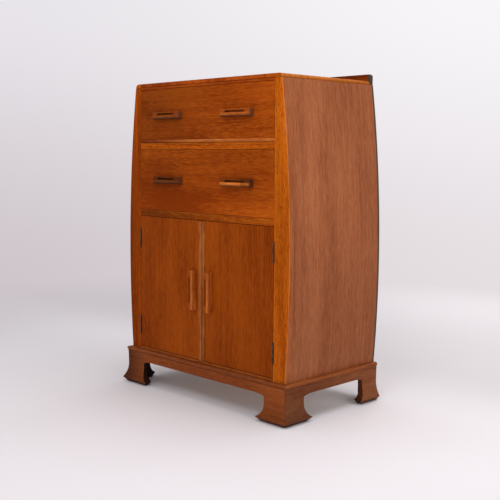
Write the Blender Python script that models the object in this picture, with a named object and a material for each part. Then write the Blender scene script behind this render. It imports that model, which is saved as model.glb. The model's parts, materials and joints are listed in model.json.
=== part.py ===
"""A 1930s oak tallboy: two drawers above a two-door cupboard, with bowed sides and flared bracket feet.

All lengths are in metres. X runs to the right as one faces the front, Y runs from the front to the back,
Z runs up. The origin is on the floor, under the middle of the whole piece's width and depth, feet included.
"""

import math

import bmesh
import bpy
from mathutils import Matrix, Vector


# Driving dimensions

CASE_DEPTH = 0.466            # front face of the stiles to the outside of the back
HALF_OPENING = 0.3393         # half the clear width between the front posts
POST_WIDTH = 0.0190           # plain post beside the opening
STILE_FOOT = 0.0317           # shaped stile outside the post, where the case stands on the base
STILE_HEAD = 0.0087           # the same under the top board
SIDE_BOW = 0.0270             # how far each side swells beyond the line from foot to head

BASE_HEIGHT = 0.134           # floor to the underside of the case
BOTTOM_BOARD = 0.0088         # thickness, also the sill seen under the doors
CUPBOARD_OPENING = 0.4924     # sill to lower rail
LOWER_RAIL = 0.0235
LOWER_DRAWER_OPENING = 0.2210
MIDDLE_RAIL = 0.0225
UPPER_DRAWER_OPENING = 0.1940
TOP_RAIL = 0.0085
TOP_BOARD = 0.0140

TOUCH = 0.0003                # gap left between pieces that touch
OVERRUN = 0.0050              # how far a cutter passes beyond what it cuts
BOW_STEPS = 24                # straight steps along a bowed edge

# Uprights and panels of the case
FRONT_THICKNESS = 0.020       # stiles and posts, front to back
SIDE_THICKNESS = 0.012
REAR_POST_DEPTH = 0.020
BACK_THICKNESS = 0.005
RAIL_DEPTH = 0.045

# Top
TOP_END_ROUND = 0.015         # length of the rounding at each end of the top
TOP_FRONT_ARRIS = 0.002
UPSTAND_HEIGHT = 0.023
UPSTAND_THICKNESS = 0.016
UPSTAND_CORNER = 0.009
ROUND_STEPS = 8

# Base: moulding, plinth boards and feet
MOULDING_HEIGHT = 0.013
MOULDING_OUT = 0.0158         # beyond the face of the case
MOULDING_IN = 0.030           # under the case
MOULDING_UNDERCUT = 0.0023    # how far the moulding's lower edge is drawn in
PLINTH_TOP_OUT = 0.0130
PLINTH_WAIST_OUT = 0.0115
PLINTH_TIP_OUT = 0.0280
PLINTH_TOE_OUT = 0.0140       # at the floor, under the bevel
PLINTH_IN = 0.0030            # inner face of the plinth boards, behind the face of the case
PLINTH_WAIST_HEIGHT = 0.068
FOOT_TIP_HEIGHT = 0.0155
RAIL_HEIGHT_ABOVE_FLOOR = 0.089   # underside of the plinth between the feet
FOOT_WIDTH = 0.080            # case corner to the waist of the foot, along the face
FOOT_TIP_FLARE = 0.026        # the tip runs out beyond the waist by this
FOOT_TOE_FLARE = 0.009        # and the foot's edge on the floor by this
FOOT_FLARE_HEIGHT = 0.052     # where the foot's inner edge starts to run out to the tip
ARCH_CORNER = 0.008
ARCH_EASE_LENGTH = 0.036      # the plinth's underside dips gently towards each foot
ARCH_EASE_DROP = 0.004
FLARE_STEPS = 7
FOOT_BLOCK = 0.024
FOOT_BLOCK_CLEAR = 0.003      # the glue blocks stop short of the floor
BACK_PLINTH_THICKNESS = 0.018
BACK_FOOT_WIDTH = 0.055       # case corner to the edge of the back board's plain foot

# Running gear
RUNNER_THICKNESS = 0.020
RUNNER_LEDGE = 0.0173         # how far a runner reaches in under its drawer's side
GUIDE_WIDTH = 0.017
GUIDE_HEIGHT = 0.016
STOP_HEIGHT = 0.006           # stops of the drawers and of the doors, beyond the board that carries them
STOP_LENGTH = 0.040
STOP_DEPTH = 0.012
DOOR_STOP_CENTRE = 0.120
KICKER_WIDTH = 0.026          # strips under the top that keep the upper drawer level when it is out
DUST_BOARD = 0.004
GROOVE_DEPTH = 0.006

# Drawers
DRAWER_GAP = 0.0010           # round each drawer front
DRAWER_FRONT = 0.020
DRAWER_SIDE = 0.012
DRAWER_BACK = 0.010
DRAWER_BOTTOM = 0.0045
DRAWER_REAR_SPACE = 0.0207    # between the drawer and the posts behind it
DRAWER_SIDE_DROP = 0.0035     # top edge of the sides below the opening
DRAWER_BACK_DROP = 0.0050     # top edge of the back below that of the sides
BOTTOM_RISE = 0.0135          # underside of the bottom above the drawer's lower edge
LIPPING_HEIGHT = 0.0110       # pale strip along the foot of the upper drawer front
LAP = 0.006                   # wood left in front of the lapped dovetails
TAILS = 5
TAIL_SLOPE = 1 / 7
PIN_SHARE = 0.30              # of each pitch, the part that is pin at the root

# Doors
DOOR_THICKNESS = 0.019
DOOR_SIDE_GAP = 0.0014
DOOR_END_GAP = 0.0016
DOOR_MEETING_GAP = 0.0024
BEAD_WIDTH = 0.0138
BEAD_PROUD = 0.0050
BEAD_TOP_GAP = 0.0035         # the beads start a little below the door's top edge
BEAD_REEDS = 2
REED_STEPS = 6

# Handles
HANDLE_LENGTH = 0.140
HANDLE_WIDTH = 0.0255
HANDLE_PROUD = 0.0200
HANDLE_BLOCK = 0.0245         # length of each solid end, beside the slot
HANDLE_LIP = 0.0045           # wood left along the slot's outer edge, across from the bar
HANDLE_SLOT = 0.0067
HANDLE_SLOT_DEPTH = 0.0150
HANDLE_GROOVE = 0.0050        # cove along the flank below the bar, for the fingertips
HANDLE_GROOVE_DEPTH = 0.0033
HANDLE_NOSING = 0.0020        # wood left in front of the cove
HANDLE_EDGE = 0.0012
COVE_STEPS = 4
DRAWER_HANDLE_INSET = 0.1638  # side of the opening to the middle of the handle
DOOR_HANDLE_CENTRE = 0.0415   # middle of the piece to the middle of the handle

# Hinges and catches
HINGE_LENGTH = 0.070
HINGE_INSET = 0.047           # door end to hinge end
LEAF_THICKNESS = 0.0016
LEAF_REACH = 0.0165
KNUCKLE_RADIUS = 0.0020
KNUCKLE_BORE = 0.0013
PIN_RADIUS = 0.0010
KNUCKLE_PROUD = 0.0024        # pin centre in front of the door's face
KNUCKLES = 5
KNUCKLE_GAP = 0.0004
KNUCKLE_SIDES = 12
CATCH_RADIUS = 0.0045
CATCH_LENGTH = 0.014
CATCH_NOSE = 0.0009
CATCH_CENTRE = 0.060
NOSE_STEPS = 3

# Cupboard shelf
SHELF_THICKNESS = 0.015
SHELF_HEIGHT = 0.250          # top face above the underside of the case
SHELF_SET_BACK = 0.030
BEARER_HEIGHT = 0.022
BEARER_WIDTH = 0.016


# Places worked out from the driving dimensions

SILL = BASE_HEIGHT + BOTTOM_BOARD
LOWER_RAIL_FOOT = SILL + CUPBOARD_OPENING
LOWER_DRAWER_FOOT = LOWER_RAIL_FOOT + LOWER_RAIL
MIDDLE_RAIL_FOOT = LOWER_DRAWER_FOOT + LOWER_DRAWER_OPENING
UPPER_DRAWER_FOOT = MIDDLE_RAIL_FOOT + MIDDLE_RAIL
TOP_RAIL_FOOT = UPPER_DRAWER_FOOT + UPPER_DRAWER_OPENING
TOP_BOARD_FOOT = TOP_RAIL_FOOT + TOP_RAIL
CASE_TOP = TOP_BOARD_FOOT + TOP_BOARD
CASE_HEIGHT = CASE_TOP - BASE_HEIGHT

FRONT = -(CASE_DEPTH - PLINTH_TIP_OUT) / 2   # the case's front face: only the feet reach in front of it
BACK = FRONT + CASE_DEPTH
BEHIND_FRONT = FRONT + FRONT_THICKNESS
BACK_PANEL_FRONT = BACK - BACK_THICKNESS
REAR_POST_FRONT = BACK_PANEL_FRONT - TOUCH - REAR_POST_DEPTH
SHELF_FOOT = BASE_HEIGHT + SHELF_HEIGHT - SHELF_THICKNESS
SHELF_FRONT = BEHIND_FRONT + SHELF_SET_BACK
PLINTH_TOP = BASE_HEIGHT - MOULDING_HEIGHT
POST_OUTER = HALF_OPENING + POST_WIDTH
CASE_HALF_FOOT = POST_OUTER + STILE_FOOT
CASE_HALF_HEAD = POST_OUTER + STILE_HEAD
RUNNER_INNER = HALF_OPENING - RUNNER_LEDGE
DRAWER_HANDLE_CENTRE = HALF_OPENING - DRAWER_HANDLE_INSET
DRAWER_REAR = REAR_POST_FRONT - DRAWER_REAR_SPACE
FOOT_TIP_REACH = FOOT_WIDTH + FOOT_TIP_FLARE
FOOT_TOE_REACH = FOOT_WIDTH + FOOT_TOE_FLARE
HINGE_X = HALF_OPENING - DOOR_SIDE_GAP / 2
HINGE_Y = FRONT - KNUCKLE_PROUD
DOOR_FOOT = SILL + DOOR_END_GAP
DOOR_HEAD = LOWER_RAIL_FOOT - DOOR_END_GAP


# Finishes: base colour, roughness, metallic

OAK_DRAWER = ("oak drawer front", (0.300, 0.074, 0.014), 0.38, 0.0)
OAK_DOOR = ("oak door", (0.245, 0.056, 0.011), 0.40, 0.0)
OAK_STILE = ("oak stile", (0.440, 0.130, 0.018), 0.38, 0.0)
OAK_RAIL = ("oak rail", (0.470, 0.140, 0.025), 0.38, 0.0)
OAK_SIDE = ("oak side veneer", (0.320, 0.115, 0.052), 0.45, 0.0)
OAK_PLINTH = ("oak plinth", (0.200, 0.060, 0.025), 0.42, 0.0)
OAK_BEAD = ("oak bead", (0.340, 0.130, 0.060), 0.40, 0.0)
OAK_HANDLE = ("oak handle", (0.260, 0.085, 0.025), 0.32, 0.0)
OAK_INNER = ("unpolished oak", (0.420, 0.270, 0.140), 0.65, 0.0)
PLY = ("birch ply", (0.560, 0.400, 0.230), 0.60, 0.0)
PINE = ("pine block", (0.500, 0.340, 0.180), 0.70, 0.0)
BRASS = ("aged brass", (0.300, 0.200, 0.070), 0.38, 1.0)

_materials = {}


def finish_material(finish):
    """The material for a finish, made once."""
    name, colour, roughness, metallic = finish
    if name not in _materials:
        material = bpy.data.materials.new(name)
        material.use_nodes = True
        shader = material.node_tree.nodes["Principled BSDF"]
        shader.inputs["Base Color"].default_value = (*colour, 1.0)
        shader.inputs["Roughness"].default_value = roughness
        shader.inputs["Metallic"].default_value = metallic
        _materials[name] = material
    return _materials[name]


# Ways of making a piece

def clear_scene():
    for item in list(bpy.data.objects):
        bpy.data.objects.remove(item, do_unlink=True)


def empty(name, place, parent=None):
    """A body's empty, which stands on the body's joint."""
    item = bpy.data.objects.new(name, None)
    bpy.context.collection.objects.link(item)
    item.location = Vector(place) - (parent.location if parent else Vector())
    item.parent = parent
    return item


def finish_piece(name, bm, origin, finish, parent):
    """Turns a bmesh made at its real place into an object whose origin is at the given place."""
    origin = Vector(origin)
    bmesh.ops.recalc_face_normals(bm, faces=bm.faces)
    bmesh.ops.translate(bm, verts=bm.verts, vec=-origin)
    mesh = bpy.data.meshes.new(name)
    bm.to_mesh(mesh)
    bm.free()
    item = bpy.data.objects.new(name, mesh)
    bpy.context.collection.objects.link(item)
    item.parent = parent
    item.location = origin - parent.matrix_basis.translation
    mesh.materials.append(finish_material(finish))
    return item


def add_box(bm, low, high):
    """A box between two corners, added to a bmesh."""
    low, high = Vector(low), Vector(high)
    size = high - low
    placed = Matrix.Translation((low + high) / 2) @ Matrix.Diagonal((*size, 1.0))
    bmesh.ops.create_cube(bm, size=1.0, matrix=placed)


def add_prism(bm, outline, axis, start, end):
    """A flat outline extruded along an axis. The outline's pairs are the other two coordinates, in order."""
    def at(pair, level):
        values = list(pair)
        values.insert("xyz".index(axis), level)
        return values
    face = bm.faces.new([bm.verts.new(at(pair, start)) for pair in outline])
    grown = bmesh.ops.extrude_face_region(bm, geom=[face])
    moved = [part for part in grown["geom"] if isinstance(part, bmesh.types.BMVert)]
    step = at((0.0, 0.0), end - start)
    bmesh.ops.translate(bm, verts=moved, vec=step)


def add_cylinder(bm, centre, radius, length, sides):
    """An upright cylinder, its middle at the given place."""
    bmesh.ops.create_cone(bm, cap_ends=True, segments=sides, radius1=radius, radius2=radius, depth=length,
                          matrix=Matrix.Translation(centre))


def board(name, low, high, finish, parent):
    """A plain rectangular board between two corners."""
    bm = bmesh.new()
    add_box(bm, low, high)
    return finish_piece(name, bm, (Vector(low) + Vector(high)) / 2, finish, parent)


def sawn(name, outline, axis, start, end, finish, parent):
    """A board sawn to an outline."""
    bm = bmesh.new()
    add_prism(bm, outline, axis, start, end)
    origin = list(outline[0])
    origin.insert("xyz".index(axis), start)
    return finish_piece(name, bm, origin, finish, parent)


def cutter(name, bm, parent):
    """A hidden shape that is taken away from other pieces."""
    item = finish_piece(name, bm, parent.matrix_basis.translation, PINE, parent)
    item.hide_render = True
    item.display_type = "WIRE"
    return item


def change(item, tool, operation):
    modifier = item.modifiers.new(operation.lower(), "BOOLEAN")
    modifier.operation = operation
    modifier.solver = "EXACT"
    modifier.object = tool


def soften(item, width, segments=1):
    """Takes the sharpness off the long edges."""
    modifier = item.modifiers.new("arris", "BEVEL")
    modifier.width = width
    modifier.segments = segments
    modifier.limit_method = "ANGLE"
    modifier.angle_limit = math.radians(50)


def smooth(item):
    item.data.shade_smooth()
    item.data.set_sharp_from_angle(angle=math.radians(35))


def mirrored(low, high, side):
    """A box on the right, or its twin on the left when side is -1."""
    xs = sorted((low[0] * side, high[0] * side))
    return (xs[0], low[1], low[2]), (xs[1], high[1], high[2])


def ellipse(centre, radii, first, last, steps):
    """Points round part of an ellipse, with the angles in degrees."""
    points = []
    for step in range(steps + 1):
        angle = math.radians(first + (last - first) * step / steps)
        points.append((centre[0] + radii[0] * math.cos(angle), centre[1] + radii[1] * math.sin(angle)))
    return points


def leaving_arc(start, end, steps):
    """An arc in (across, up) from start to end that leaves the start straight down or straight up."""
    across = end[0] - start[0]
    up = end[1] - start[1]
    turn = 2 * math.atan2(abs(across), abs(up))
    radius = abs(up) / math.sin(turn)
    points = []
    for step in range(steps + 1):
        angle = turn * step / steps
        points.append((start[0] + math.copysign(radius * (1 - math.cos(angle)), across),
                       start[1] + math.copysign(radius * math.sin(angle), up)))
    return points


# The bow of the sides

BOW_CHORD = math.hypot(CASE_HEIGHT, CASE_HALF_FOOT - CASE_HALF_HEAD)
BOW_RADIUS = (BOW_CHORD ** 2 / 4 + SIDE_BOW ** 2) / (2 * SIDE_BOW)
BOW_LEAN = (CASE_HALF_FOOT - CASE_HALF_HEAD) / BOW_CHORD
BOW_CENTRE_X = (CASE_HALF_FOOT + CASE_HALF_HEAD) / 2 - (BOW_RADIUS - SIDE_BOW) * CASE_HEIGHT / BOW_CHORD
BOW_CENTRE_Z = BASE_HEIGHT + CASE_HEIGHT / 2 - (BOW_RADIUS - SIDE_BOW) * BOW_LEAN


def half_width(height, inset=0.0):
    """Half the case's width at a height, or that of a surface lying parallel inside it."""
    radius = BOW_RADIUS - inset
    return BOW_CENTRE_X + math.sqrt(radius ** 2 - (height - BOW_CENTRE_Z) ** 2)


def bowed_edge(side, foot, head, inset=0.0):
    """Points up a bowed edge, from foot to head, as (x, z)."""
    points = []
    for step in range(BOW_STEPS + 1):
        height = foot + (head - foot) * step / BOW_STEPS
        points.append((side * half_width(height, inset), height))
    return points


def least_half_width(foot, head, inset):
    """The narrower of a bowed surface's half widths at two heights."""
    return min(half_width(foot, inset), half_width(head, inset))


def side_name(stem, side):
    return stem + ("_right" if side > 0 else "_left")


# The case

def make_sides(case):
    foot = BASE_HEIGHT + TOUCH
    head = TOP_BOARD_FOOT - TOUCH
    for side in (-1, 1):
        outer = bowed_edge(side, foot, head)
        inner = bowed_edge(side, foot, head, SIDE_THICKNESS)
        panel = sawn(side_name("side_panel", side), outer + inner[::-1], "y", BEHIND_FRONT + TOUCH, BACK,
                     OAK_SIDE, case)
        bearer = bmesh.new()
        bearer_head = SHELF_FOOT - TOUCH
        bearer_foot = bearer_head - BEARER_HEIGHT
        face = least_half_width(bearer_foot, bearer_head, SIDE_THICKNESS)
        low, high = mirrored((face - BEARER_WIDTH, SHELF_FRONT, bearer_foot),
                             (face + SIDE_THICKNESS / 2, REAR_POST_FRONT - TOUCH, bearer_head), side)
        add_box(bearer, low, high)
        change(panel, cutter(side_name("shelf_bearer", side), bearer, case), "UNION")


def make_uprights(case):
    """Front posts and shaped stiles, and the posts inside the back corners."""
    foot = BASE_HEIGHT + TOUCH
    head = TOP_BOARD_FOOT - TOUCH
    for side in (-1, 1):
        low, high = mirrored((HALF_OPENING, FRONT, foot), (POST_OUTER, BEHIND_FRONT, head), side)
        post = board(side_name("front_post", side), low, high, OAK_RAIL, case)
        mortise = bmesh.new()
        for level in hinge_feet():
            low, high = mirrored((HALF_OPENING - OVERRUN, FRONT - OVERRUN, level - TOUCH),
                                 (HALF_OPENING + LEAF_THICKNESS + TOUCH, FRONT + LEAF_REACH + TOUCH,
                                  level + HINGE_LENGTH + TOUCH), side)
            add_box(mortise, low, high)
        change(post, cutter(side_name("post_mortises", side), mortise, case), "DIFFERENCE")
        straight = [(side * (POST_OUTER + TOUCH), head), (side * (POST_OUTER + TOUCH), foot)]
        sawn(side_name("front_stile", side), bowed_edge(side, foot, head) + straight, "y", FRONT,
             BEHIND_FRONT, OAK_STILE, case)
        inner = [(side * HALF_OPENING, head), (side * HALF_OPENING, foot)]
        outer = bowed_edge(side, foot, head, SIDE_THICKNESS + TOUCH)
        sawn(side_name("rear_post", side), outer + inner, "y", REAR_POST_FRONT, BACK_PANEL_FRONT - TOUCH,
             OAK_INNER, case)


def make_top(case):
    foot = half_width(TOP_BOARD_FOOT)
    flat = foot - TOP_END_ROUND
    right = ellipse((flat, TOP_BOARD_FOOT), (TOP_END_ROUND, TOP_BOARD), 0, 90, ROUND_STEPS)
    left = [(-x, z) for x, z in right[::-1]]
    top = sawn("top_board", right + left, "y", FRONT, BACK - UPSTAND_THICKNESS - TOUCH, OAK_DRAWER, case)
    soften(top, TOP_FRONT_ARRIS)
    kickers = bmesh.new()
    for side in (-1, 1):
        low, high = mirrored((HALF_OPENING - KICKER_WIDTH, FRONT + RAIL_DEPTH + TOUCH, TOP_RAIL_FOOT),
                             (HALF_OPENING - TOUCH, REAR_POST_FRONT - TOUCH, TOP_BOARD_FOOT + TOP_BOARD / 2),
                             side)
        add_box(kickers, low, high)
    change(top, cutter("kickers", kickers, case), "UNION")
    head = CASE_TOP + UPSTAND_HEIGHT
    corner = (foot - UPSTAND_CORNER, head - UPSTAND_CORNER)
    right = [(foot, TOP_BOARD_FOOT)] + ellipse(corner, (UPSTAND_CORNER, UPSTAND_CORNER), 0, 90, ROUND_STEPS)
    left = [(-x, z) for x, z in right[::-1]]
    upstand = sawn("back_upstand", right + left, "y", BACK - UPSTAND_THICKNESS, BACK, OAK_SIDE, case)
    soften(upstand, TOP_FRONT_ARRIS)


def rail_outline(foot, head, groove_foot, groove_head):
    """A front rail's section as (y, z), grooved along its back edge for a dust board."""
    behind = FRONT + RAIL_DEPTH
    return [(FRONT, foot), (behind, foot), (behind, groove_foot), (behind - GROOVE_DEPTH, groove_foot),
            (behind - GROOVE_DEPTH, groove_head), (behind, groove_head), (behind, head), (FRONT, head)]


def dust_groove(head):
    """The groove's lower and upper edges in a rail or runner with its top at the given height."""
    foot = head - RUNNER_THICKNESS / 2 - DUST_BOARD / 2 - TOUCH
    return foot, foot + DUST_BOARD + 2 * TOUCH


def stops(centre, front, foot, head):
    """A pair of blocks glued behind a drawer front or the doors, which stop them flush with the case."""
    bm = bmesh.new()
    for side in (-1, 1):
        x = side * centre
        add_box(bm, (x - STOP_LENGTH / 2, front + TOUCH, foot),
                (x + STOP_LENGTH / 2, front + STOP_DEPTH, head))
    return bm


def make_rails(case):
    half = HALF_OPENING - TOUCH
    board("top_rail", (-half, FRONT, TOP_RAIL_FOOT), (half, FRONT + RAIL_DEPTH, TOP_BOARD_FOOT - TOUCH),
          OAK_RAIL, case)
    for name, foot, head in (("middle_rail", MIDDLE_RAIL_FOOT, UPPER_DRAWER_FOOT),
                             ("lower_rail", LOWER_RAIL_FOOT, LOWER_DRAWER_FOOT)):
        rail = sawn(name, rail_outline(foot, head, *dust_groove(head)), "x", -half, half, OAK_RAIL, case)
        blocks = stops(DRAWER_HANDLE_CENTRE, FRONT + DRAWER_FRONT, head - STOP_HEIGHT / 2, head + STOP_HEIGHT)
        change(rail, cutter(name + "_stops", blocks, case), "UNION")
        if name == "lower_rail":
            blocks = stops(DOOR_STOP_CENTRE, FRONT + DOOR_THICKNESS, foot - STOP_HEIGHT,
                           foot + STOP_HEIGHT / 2)
            change(rail, cutter("door_head_stops", blocks, case), "UNION")
            holes = bmesh.new()
            for side in (-1, 1):
                place = (side * CATCH_CENTRE, FRONT + DOOR_THICKNESS / 2, foot + (CATCH_LENGTH - OVERRUN) / 2)
                add_cylinder(holes, place, CATCH_RADIUS + TOUCH, CATCH_LENGTH + OVERRUN, KNUCKLE_SIDES)
            change(rail, cutter("catch_holes", holes, case), "DIFFERENCE")


def make_catches(case):
    """Spring catches let into the lower rail, their noses over the doors."""
    head = LOWER_RAIL_FOOT + CATCH_LENGTH - 2 * TOUCH
    for side in (-1, 1):
        bm = bmesh.new()
        nose = ellipse((0.0, LOWER_RAIL_FOOT), (CATCH_RADIUS, CATCH_NOSE), 270, 360, NOSE_STEPS)
        profile = [bm.verts.new((across, 0.0, up)) for across, up in nose]
        profile.append(bm.verts.new((CATCH_RADIUS, 0.0, head)))
        profile.append(bm.verts.new((0.0, 0.0, head)))
        edges = [bm.edges.new(pair) for pair in zip(profile, profile[1:])]
        bmesh.ops.spin(bm, geom=edges, cent=(0, 0, 0), axis=(0, 0, 1), angle=2 * math.pi, steps=KNUCKLE_SIDES,
                       use_merge=True)
        bmesh.ops.remove_doubles(bm, verts=bm.verts, dist=TOUCH / 10)
        place = (side * CATCH_CENTRE, FRONT + DOOR_THICKNESS / 2, 0.0)
        bmesh.ops.translate(bm, verts=bm.verts, vec=place)
        origin = (place[0], place[1], LOWER_RAIL_FOOT)
        smooth(finish_piece(side_name("ball_catch", side), bm, origin, BRASS, case))


def make_bottom(case):
    """The cupboard's floor, notched round the front posts and stiles."""
    foot = BASE_HEIGHT + TOUCH
    wide = least_half_width(BASE_HEIGHT, SILL, SIDE_THICKNESS + TOUCH)
    narrow = HALF_OPENING - TOUCH
    behind = BEHIND_FRONT + TOUCH
    # The floor also clears the posts in the back corners.
    right = [(narrow, FRONT), (narrow, behind), (wide, behind), (wide, REAR_POST_FRONT - TOUCH),
             (narrow, REAR_POST_FRONT - TOUCH), (narrow, BACK_PANEL_FRONT - TOUCH)]
    left = [(-x, y) for x, y in right[::-1]]
    floor = sawn("bottom_board", right + left, "z", foot, SILL, OAK_RAIL, case)
    blocks = stops(DOOR_STOP_CENTRE, FRONT + DOOR_THICKNESS, SILL - STOP_HEIGHT / 2, SILL + STOP_HEIGHT)
    change(floor, cutter("door_foot_stops", blocks, case), "UNION")


def make_back(case):
    foot = BASE_HEIGHT + TOUCH
    head = TOP_BOARD_FOOT - TOUCH
    right = bowed_edge(1, foot, head, SIDE_THICKNESS + TOUCH)
    left = [(-x, z) for x, z in right[::-1]]
    sawn("back_panel", right + left, "y", BACK_PANEL_FRONT, BACK - TOUCH, PLY, case)


# Running gear of the drawers

def make_runners(case):
    """A runner on each side of each drawer, rebated to guide it, and a dust board between them."""
    front = FRONT + RAIL_DEPTH + TOUCH
    rear = REAR_POST_FRONT - TOUCH
    for stem, head in (("upper", UPPER_DRAWER_FOOT), ("lower", LOWER_DRAWER_FOOT)):
        foot = head - RUNNER_THICKNESS
        outer = least_half_width(foot, head, SIDE_THICKNESS + TOUCH)
        guide_head = head + GUIDE_HEIGHT
        guide_outer = min(HALF_OPENING + GUIDE_WIDTH, half_width(guide_head, SIDE_THICKNESS + TOUCH))
        groove_foot, groove_head = dust_groove(head)
        for side in (-1, 1):
            outline = [(RUNNER_INNER, foot), (outer, foot), (outer, head), (guide_outer, head),
                       (guide_outer, guide_head), (HALF_OPENING, guide_head), (HALF_OPENING, head),
                       (RUNNER_INNER, head), (RUNNER_INNER, groove_head),
                       (RUNNER_INNER + GROOVE_DEPTH, groove_head), (RUNNER_INNER + GROOVE_DEPTH, groove_foot),
                       (RUNNER_INNER, groove_foot)]
            sawn(side_name(stem + "_runner", side), [(side * x, z) for x, z in outline], "y", front, rear,
                 OAK_INNER, case)
        half = RUNNER_INNER + GROOVE_DEPTH - TOUCH
        board(stem + "_dust_board", (-half, front - GROOVE_DEPTH, groove_foot + TOUCH),
              (half, rear, groove_head - TOUCH), PLY, case)


# The cupboard shelf

def make_shelf(case):
    head = SHELF_FOOT + SHELF_THICKNESS
    half = least_half_width(SHELF_FOOT, head, SIDE_THICKNESS + TOUCH)
    board("cupboard_shelf", (-half, SHELF_FRONT, SHELF_FOOT), (half, REAR_POST_FRONT - TOUCH, head),
          OAK_INNER, case)


# The base

def plinth_section():
    """The moulded section of a plinth board as (distance out from the case's face, height)."""
    waist = (PLINTH_WAIST_OUT, PLINTH_WAIST_HEIGHT)
    upper = leaving_arc(waist, (PLINTH_TOP_OUT, PLINTH_TOP - TOUCH), FLARE_STEPS // 2)[::-1]
    flare = leaving_arc(waist, (PLINTH_TIP_OUT, FOOT_TIP_HEIGHT), FLARE_STEPS)[1:]
    return upper + flare + [(PLINTH_TOE_OUT, 0.0), (-PLINTH_IN, 0.0), (-PLINTH_IN, PLINTH_TOP - TOUCH)]


def moulding_section():
    """The rounded moulding between plinth and case, as (distance out from the case's face, height)."""
    foot = PLINTH_TOP
    nose = ellipse((MOULDING_OUT - MOULDING_HEIGHT / 2, foot + MOULDING_HEIGHT / 2),
                   (MOULDING_HEIGHT / 2, MOULDING_HEIGHT / 2), 90, -55, ROUND_STEPS)
    return nose + [(MOULDING_OUT - MOULDING_UNDERCUT, foot), (-MOULDING_IN, foot),
                   (-MOULDING_IN, foot + MOULDING_HEIGHT)]


def half_arch():
    """One side of the opening between two feet, as (distance from the case's corner, height), going up."""
    toe = [(FOOT_TOE_REACH, -OVERRUN), (FOOT_TOE_REACH, 0.0)]
    flare = leaving_arc((FOOT_WIDTH, FOOT_FLARE_HEIGHT), (FOOT_TIP_REACH, FOOT_TIP_HEIGHT), FLARE_STEPS)[::-1]
    corner = ellipse((FOOT_WIDTH + ARCH_CORNER, RAIL_HEIGHT_ABOVE_FLOOR - ARCH_EASE_DROP - ARCH_CORNER),
                     (ARCH_CORNER, ARCH_CORNER), 180, 90, FLARE_STEPS // 2)
    ease_start = FOOT_WIDTH + ARCH_CORNER
    ease = []
    for step in range(1, FLARE_STEPS // 2 + 1):
        share = step / (FLARE_STEPS // 2)
        ease.append((ease_start + ARCH_EASE_LENGTH * share,
                     RAIL_HEIGHT_ABOVE_FLOOR - ARCH_EASE_DROP * (1 - share) ** 2))
    return toe + flare + corner + ease


def arch_outline(start, end):
    """The whole opening between feet that stand at start and end along a face."""
    first = [(start + reach, height) for reach, height in half_arch()]
    second = [(end - reach, height) for reach, height in half_arch()]
    return first + second[::-1]


def mitre(bm, side, keep_front):
    """Cuts a mitre through the case's front corner, and keeps the front or the side part."""
    facing = Vector((side, 1.0, 0.0)).normalized()
    corner = Vector((side * CASE_HALF_FOOT, FRONT, 0.0)) + facing * (-TOUCH / 2 if keep_front else TOUCH / 2)
    cut = bmesh.ops.bisect_plane(bm, geom=bm.verts[:] + bm.edges[:] + bm.faces[:], plane_co=corner,
                                 plane_no=facing, clear_outer=keep_front, clear_inner=not keep_front)
    rim = [part for part in cut["geom_cut"] if isinstance(part, bmesh.types.BMEdge)]
    bmesh.ops.edgenet_fill(bm, edges=rim)


def make_moulded(stem, section, finish, case, arches):
    """A moulded board along the front and one along each side, mitred at the front corners."""
    reach = CASE_HALF_FOOT + PLINTH_TIP_OUT + OVERRUN
    bm = bmesh.new()
    add_prism(bm, [(FRONT - out, height) for out, height in section], "x", -reach, reach)
    for side in (-1, 1):
        mitre(bm, side, True)
    front = finish_piece(stem + "_front", bm, (0.0, FRONT, section[-1][1]), finish, case)
    if arches:
        opening = bmesh.new()
        add_prism(opening, arch_outline(-CASE_HALF_FOOT, CASE_HALF_FOOT), "y",
                  FRONT - PLINTH_TIP_OUT - OVERRUN, FRONT + PLINTH_IN + OVERRUN)
        change(front, cutter("front_arch", opening, case), "DIFFERENCE")
        opening = bmesh.new()
        add_prism(opening, arch_outline(FRONT, BACK), "x", -reach, reach)
        side_arch = cutter("side_arch", opening, case)
    for side in (-1, 1):
        bm = bmesh.new()
        outline = [(side * (CASE_HALF_FOOT + out), height) for out, height in section]
        add_prism(bm, outline, "y", FRONT - PLINTH_TIP_OUT - OVERRUN, BACK)
        mitre(bm, side, False)
        origin = (side * CASE_HALF_FOOT, FRONT, section[-1][1])
        item = finish_piece(side_name(stem, side), bm, origin, finish, case)
        if arches:
            change(item, side_arch, "DIFFERENCE")
            change(item, cutter(side_name("foot_blocks", side), foot_blocks(side), case), "UNION")


def back_arch():
    """The plain opening between the feet of the back board as (x, height), from left to right."""
    edge = CASE_HALF_FOOT - BACK_FOOT_WIDTH
    corner = ellipse((edge - ARCH_CORNER, RAIL_HEIGHT_ABOVE_FLOOR - ARCH_CORNER),
                     (ARCH_CORNER, ARCH_CORNER), 90, 0, FLARE_STEPS // 2)
    right = corner + [(edge, 0.0)]
    return [(-x, height) for x, height in reversed(right)] + right


def make_base(case):
    make_moulded("plinth", plinth_section(), OAK_PLINTH, case, True)
    make_moulded("base_moulding", moulding_section(), OAK_PLINTH, case, False)
    wide = CASE_HALF_FOOT - PLINTH_IN - TOUCH
    narrow = CASE_HALF_FOOT - MOULDING_IN - TOUCH
    shoulder = PLINTH_TOP - TOUCH
    head = BASE_HEIGHT
    outline = back_arch() + [(wide, 0.0), (wide, shoulder), (narrow, shoulder), (narrow, head),
                             (-narrow, head), (-narrow, shoulder), (-wide, shoulder), (-wide, 0.0)]
    sawn("plinth_back", outline, "y", BACK - BACK_PLINTH_THICKNESS, BACK, OAK_INNER, case)


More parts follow.
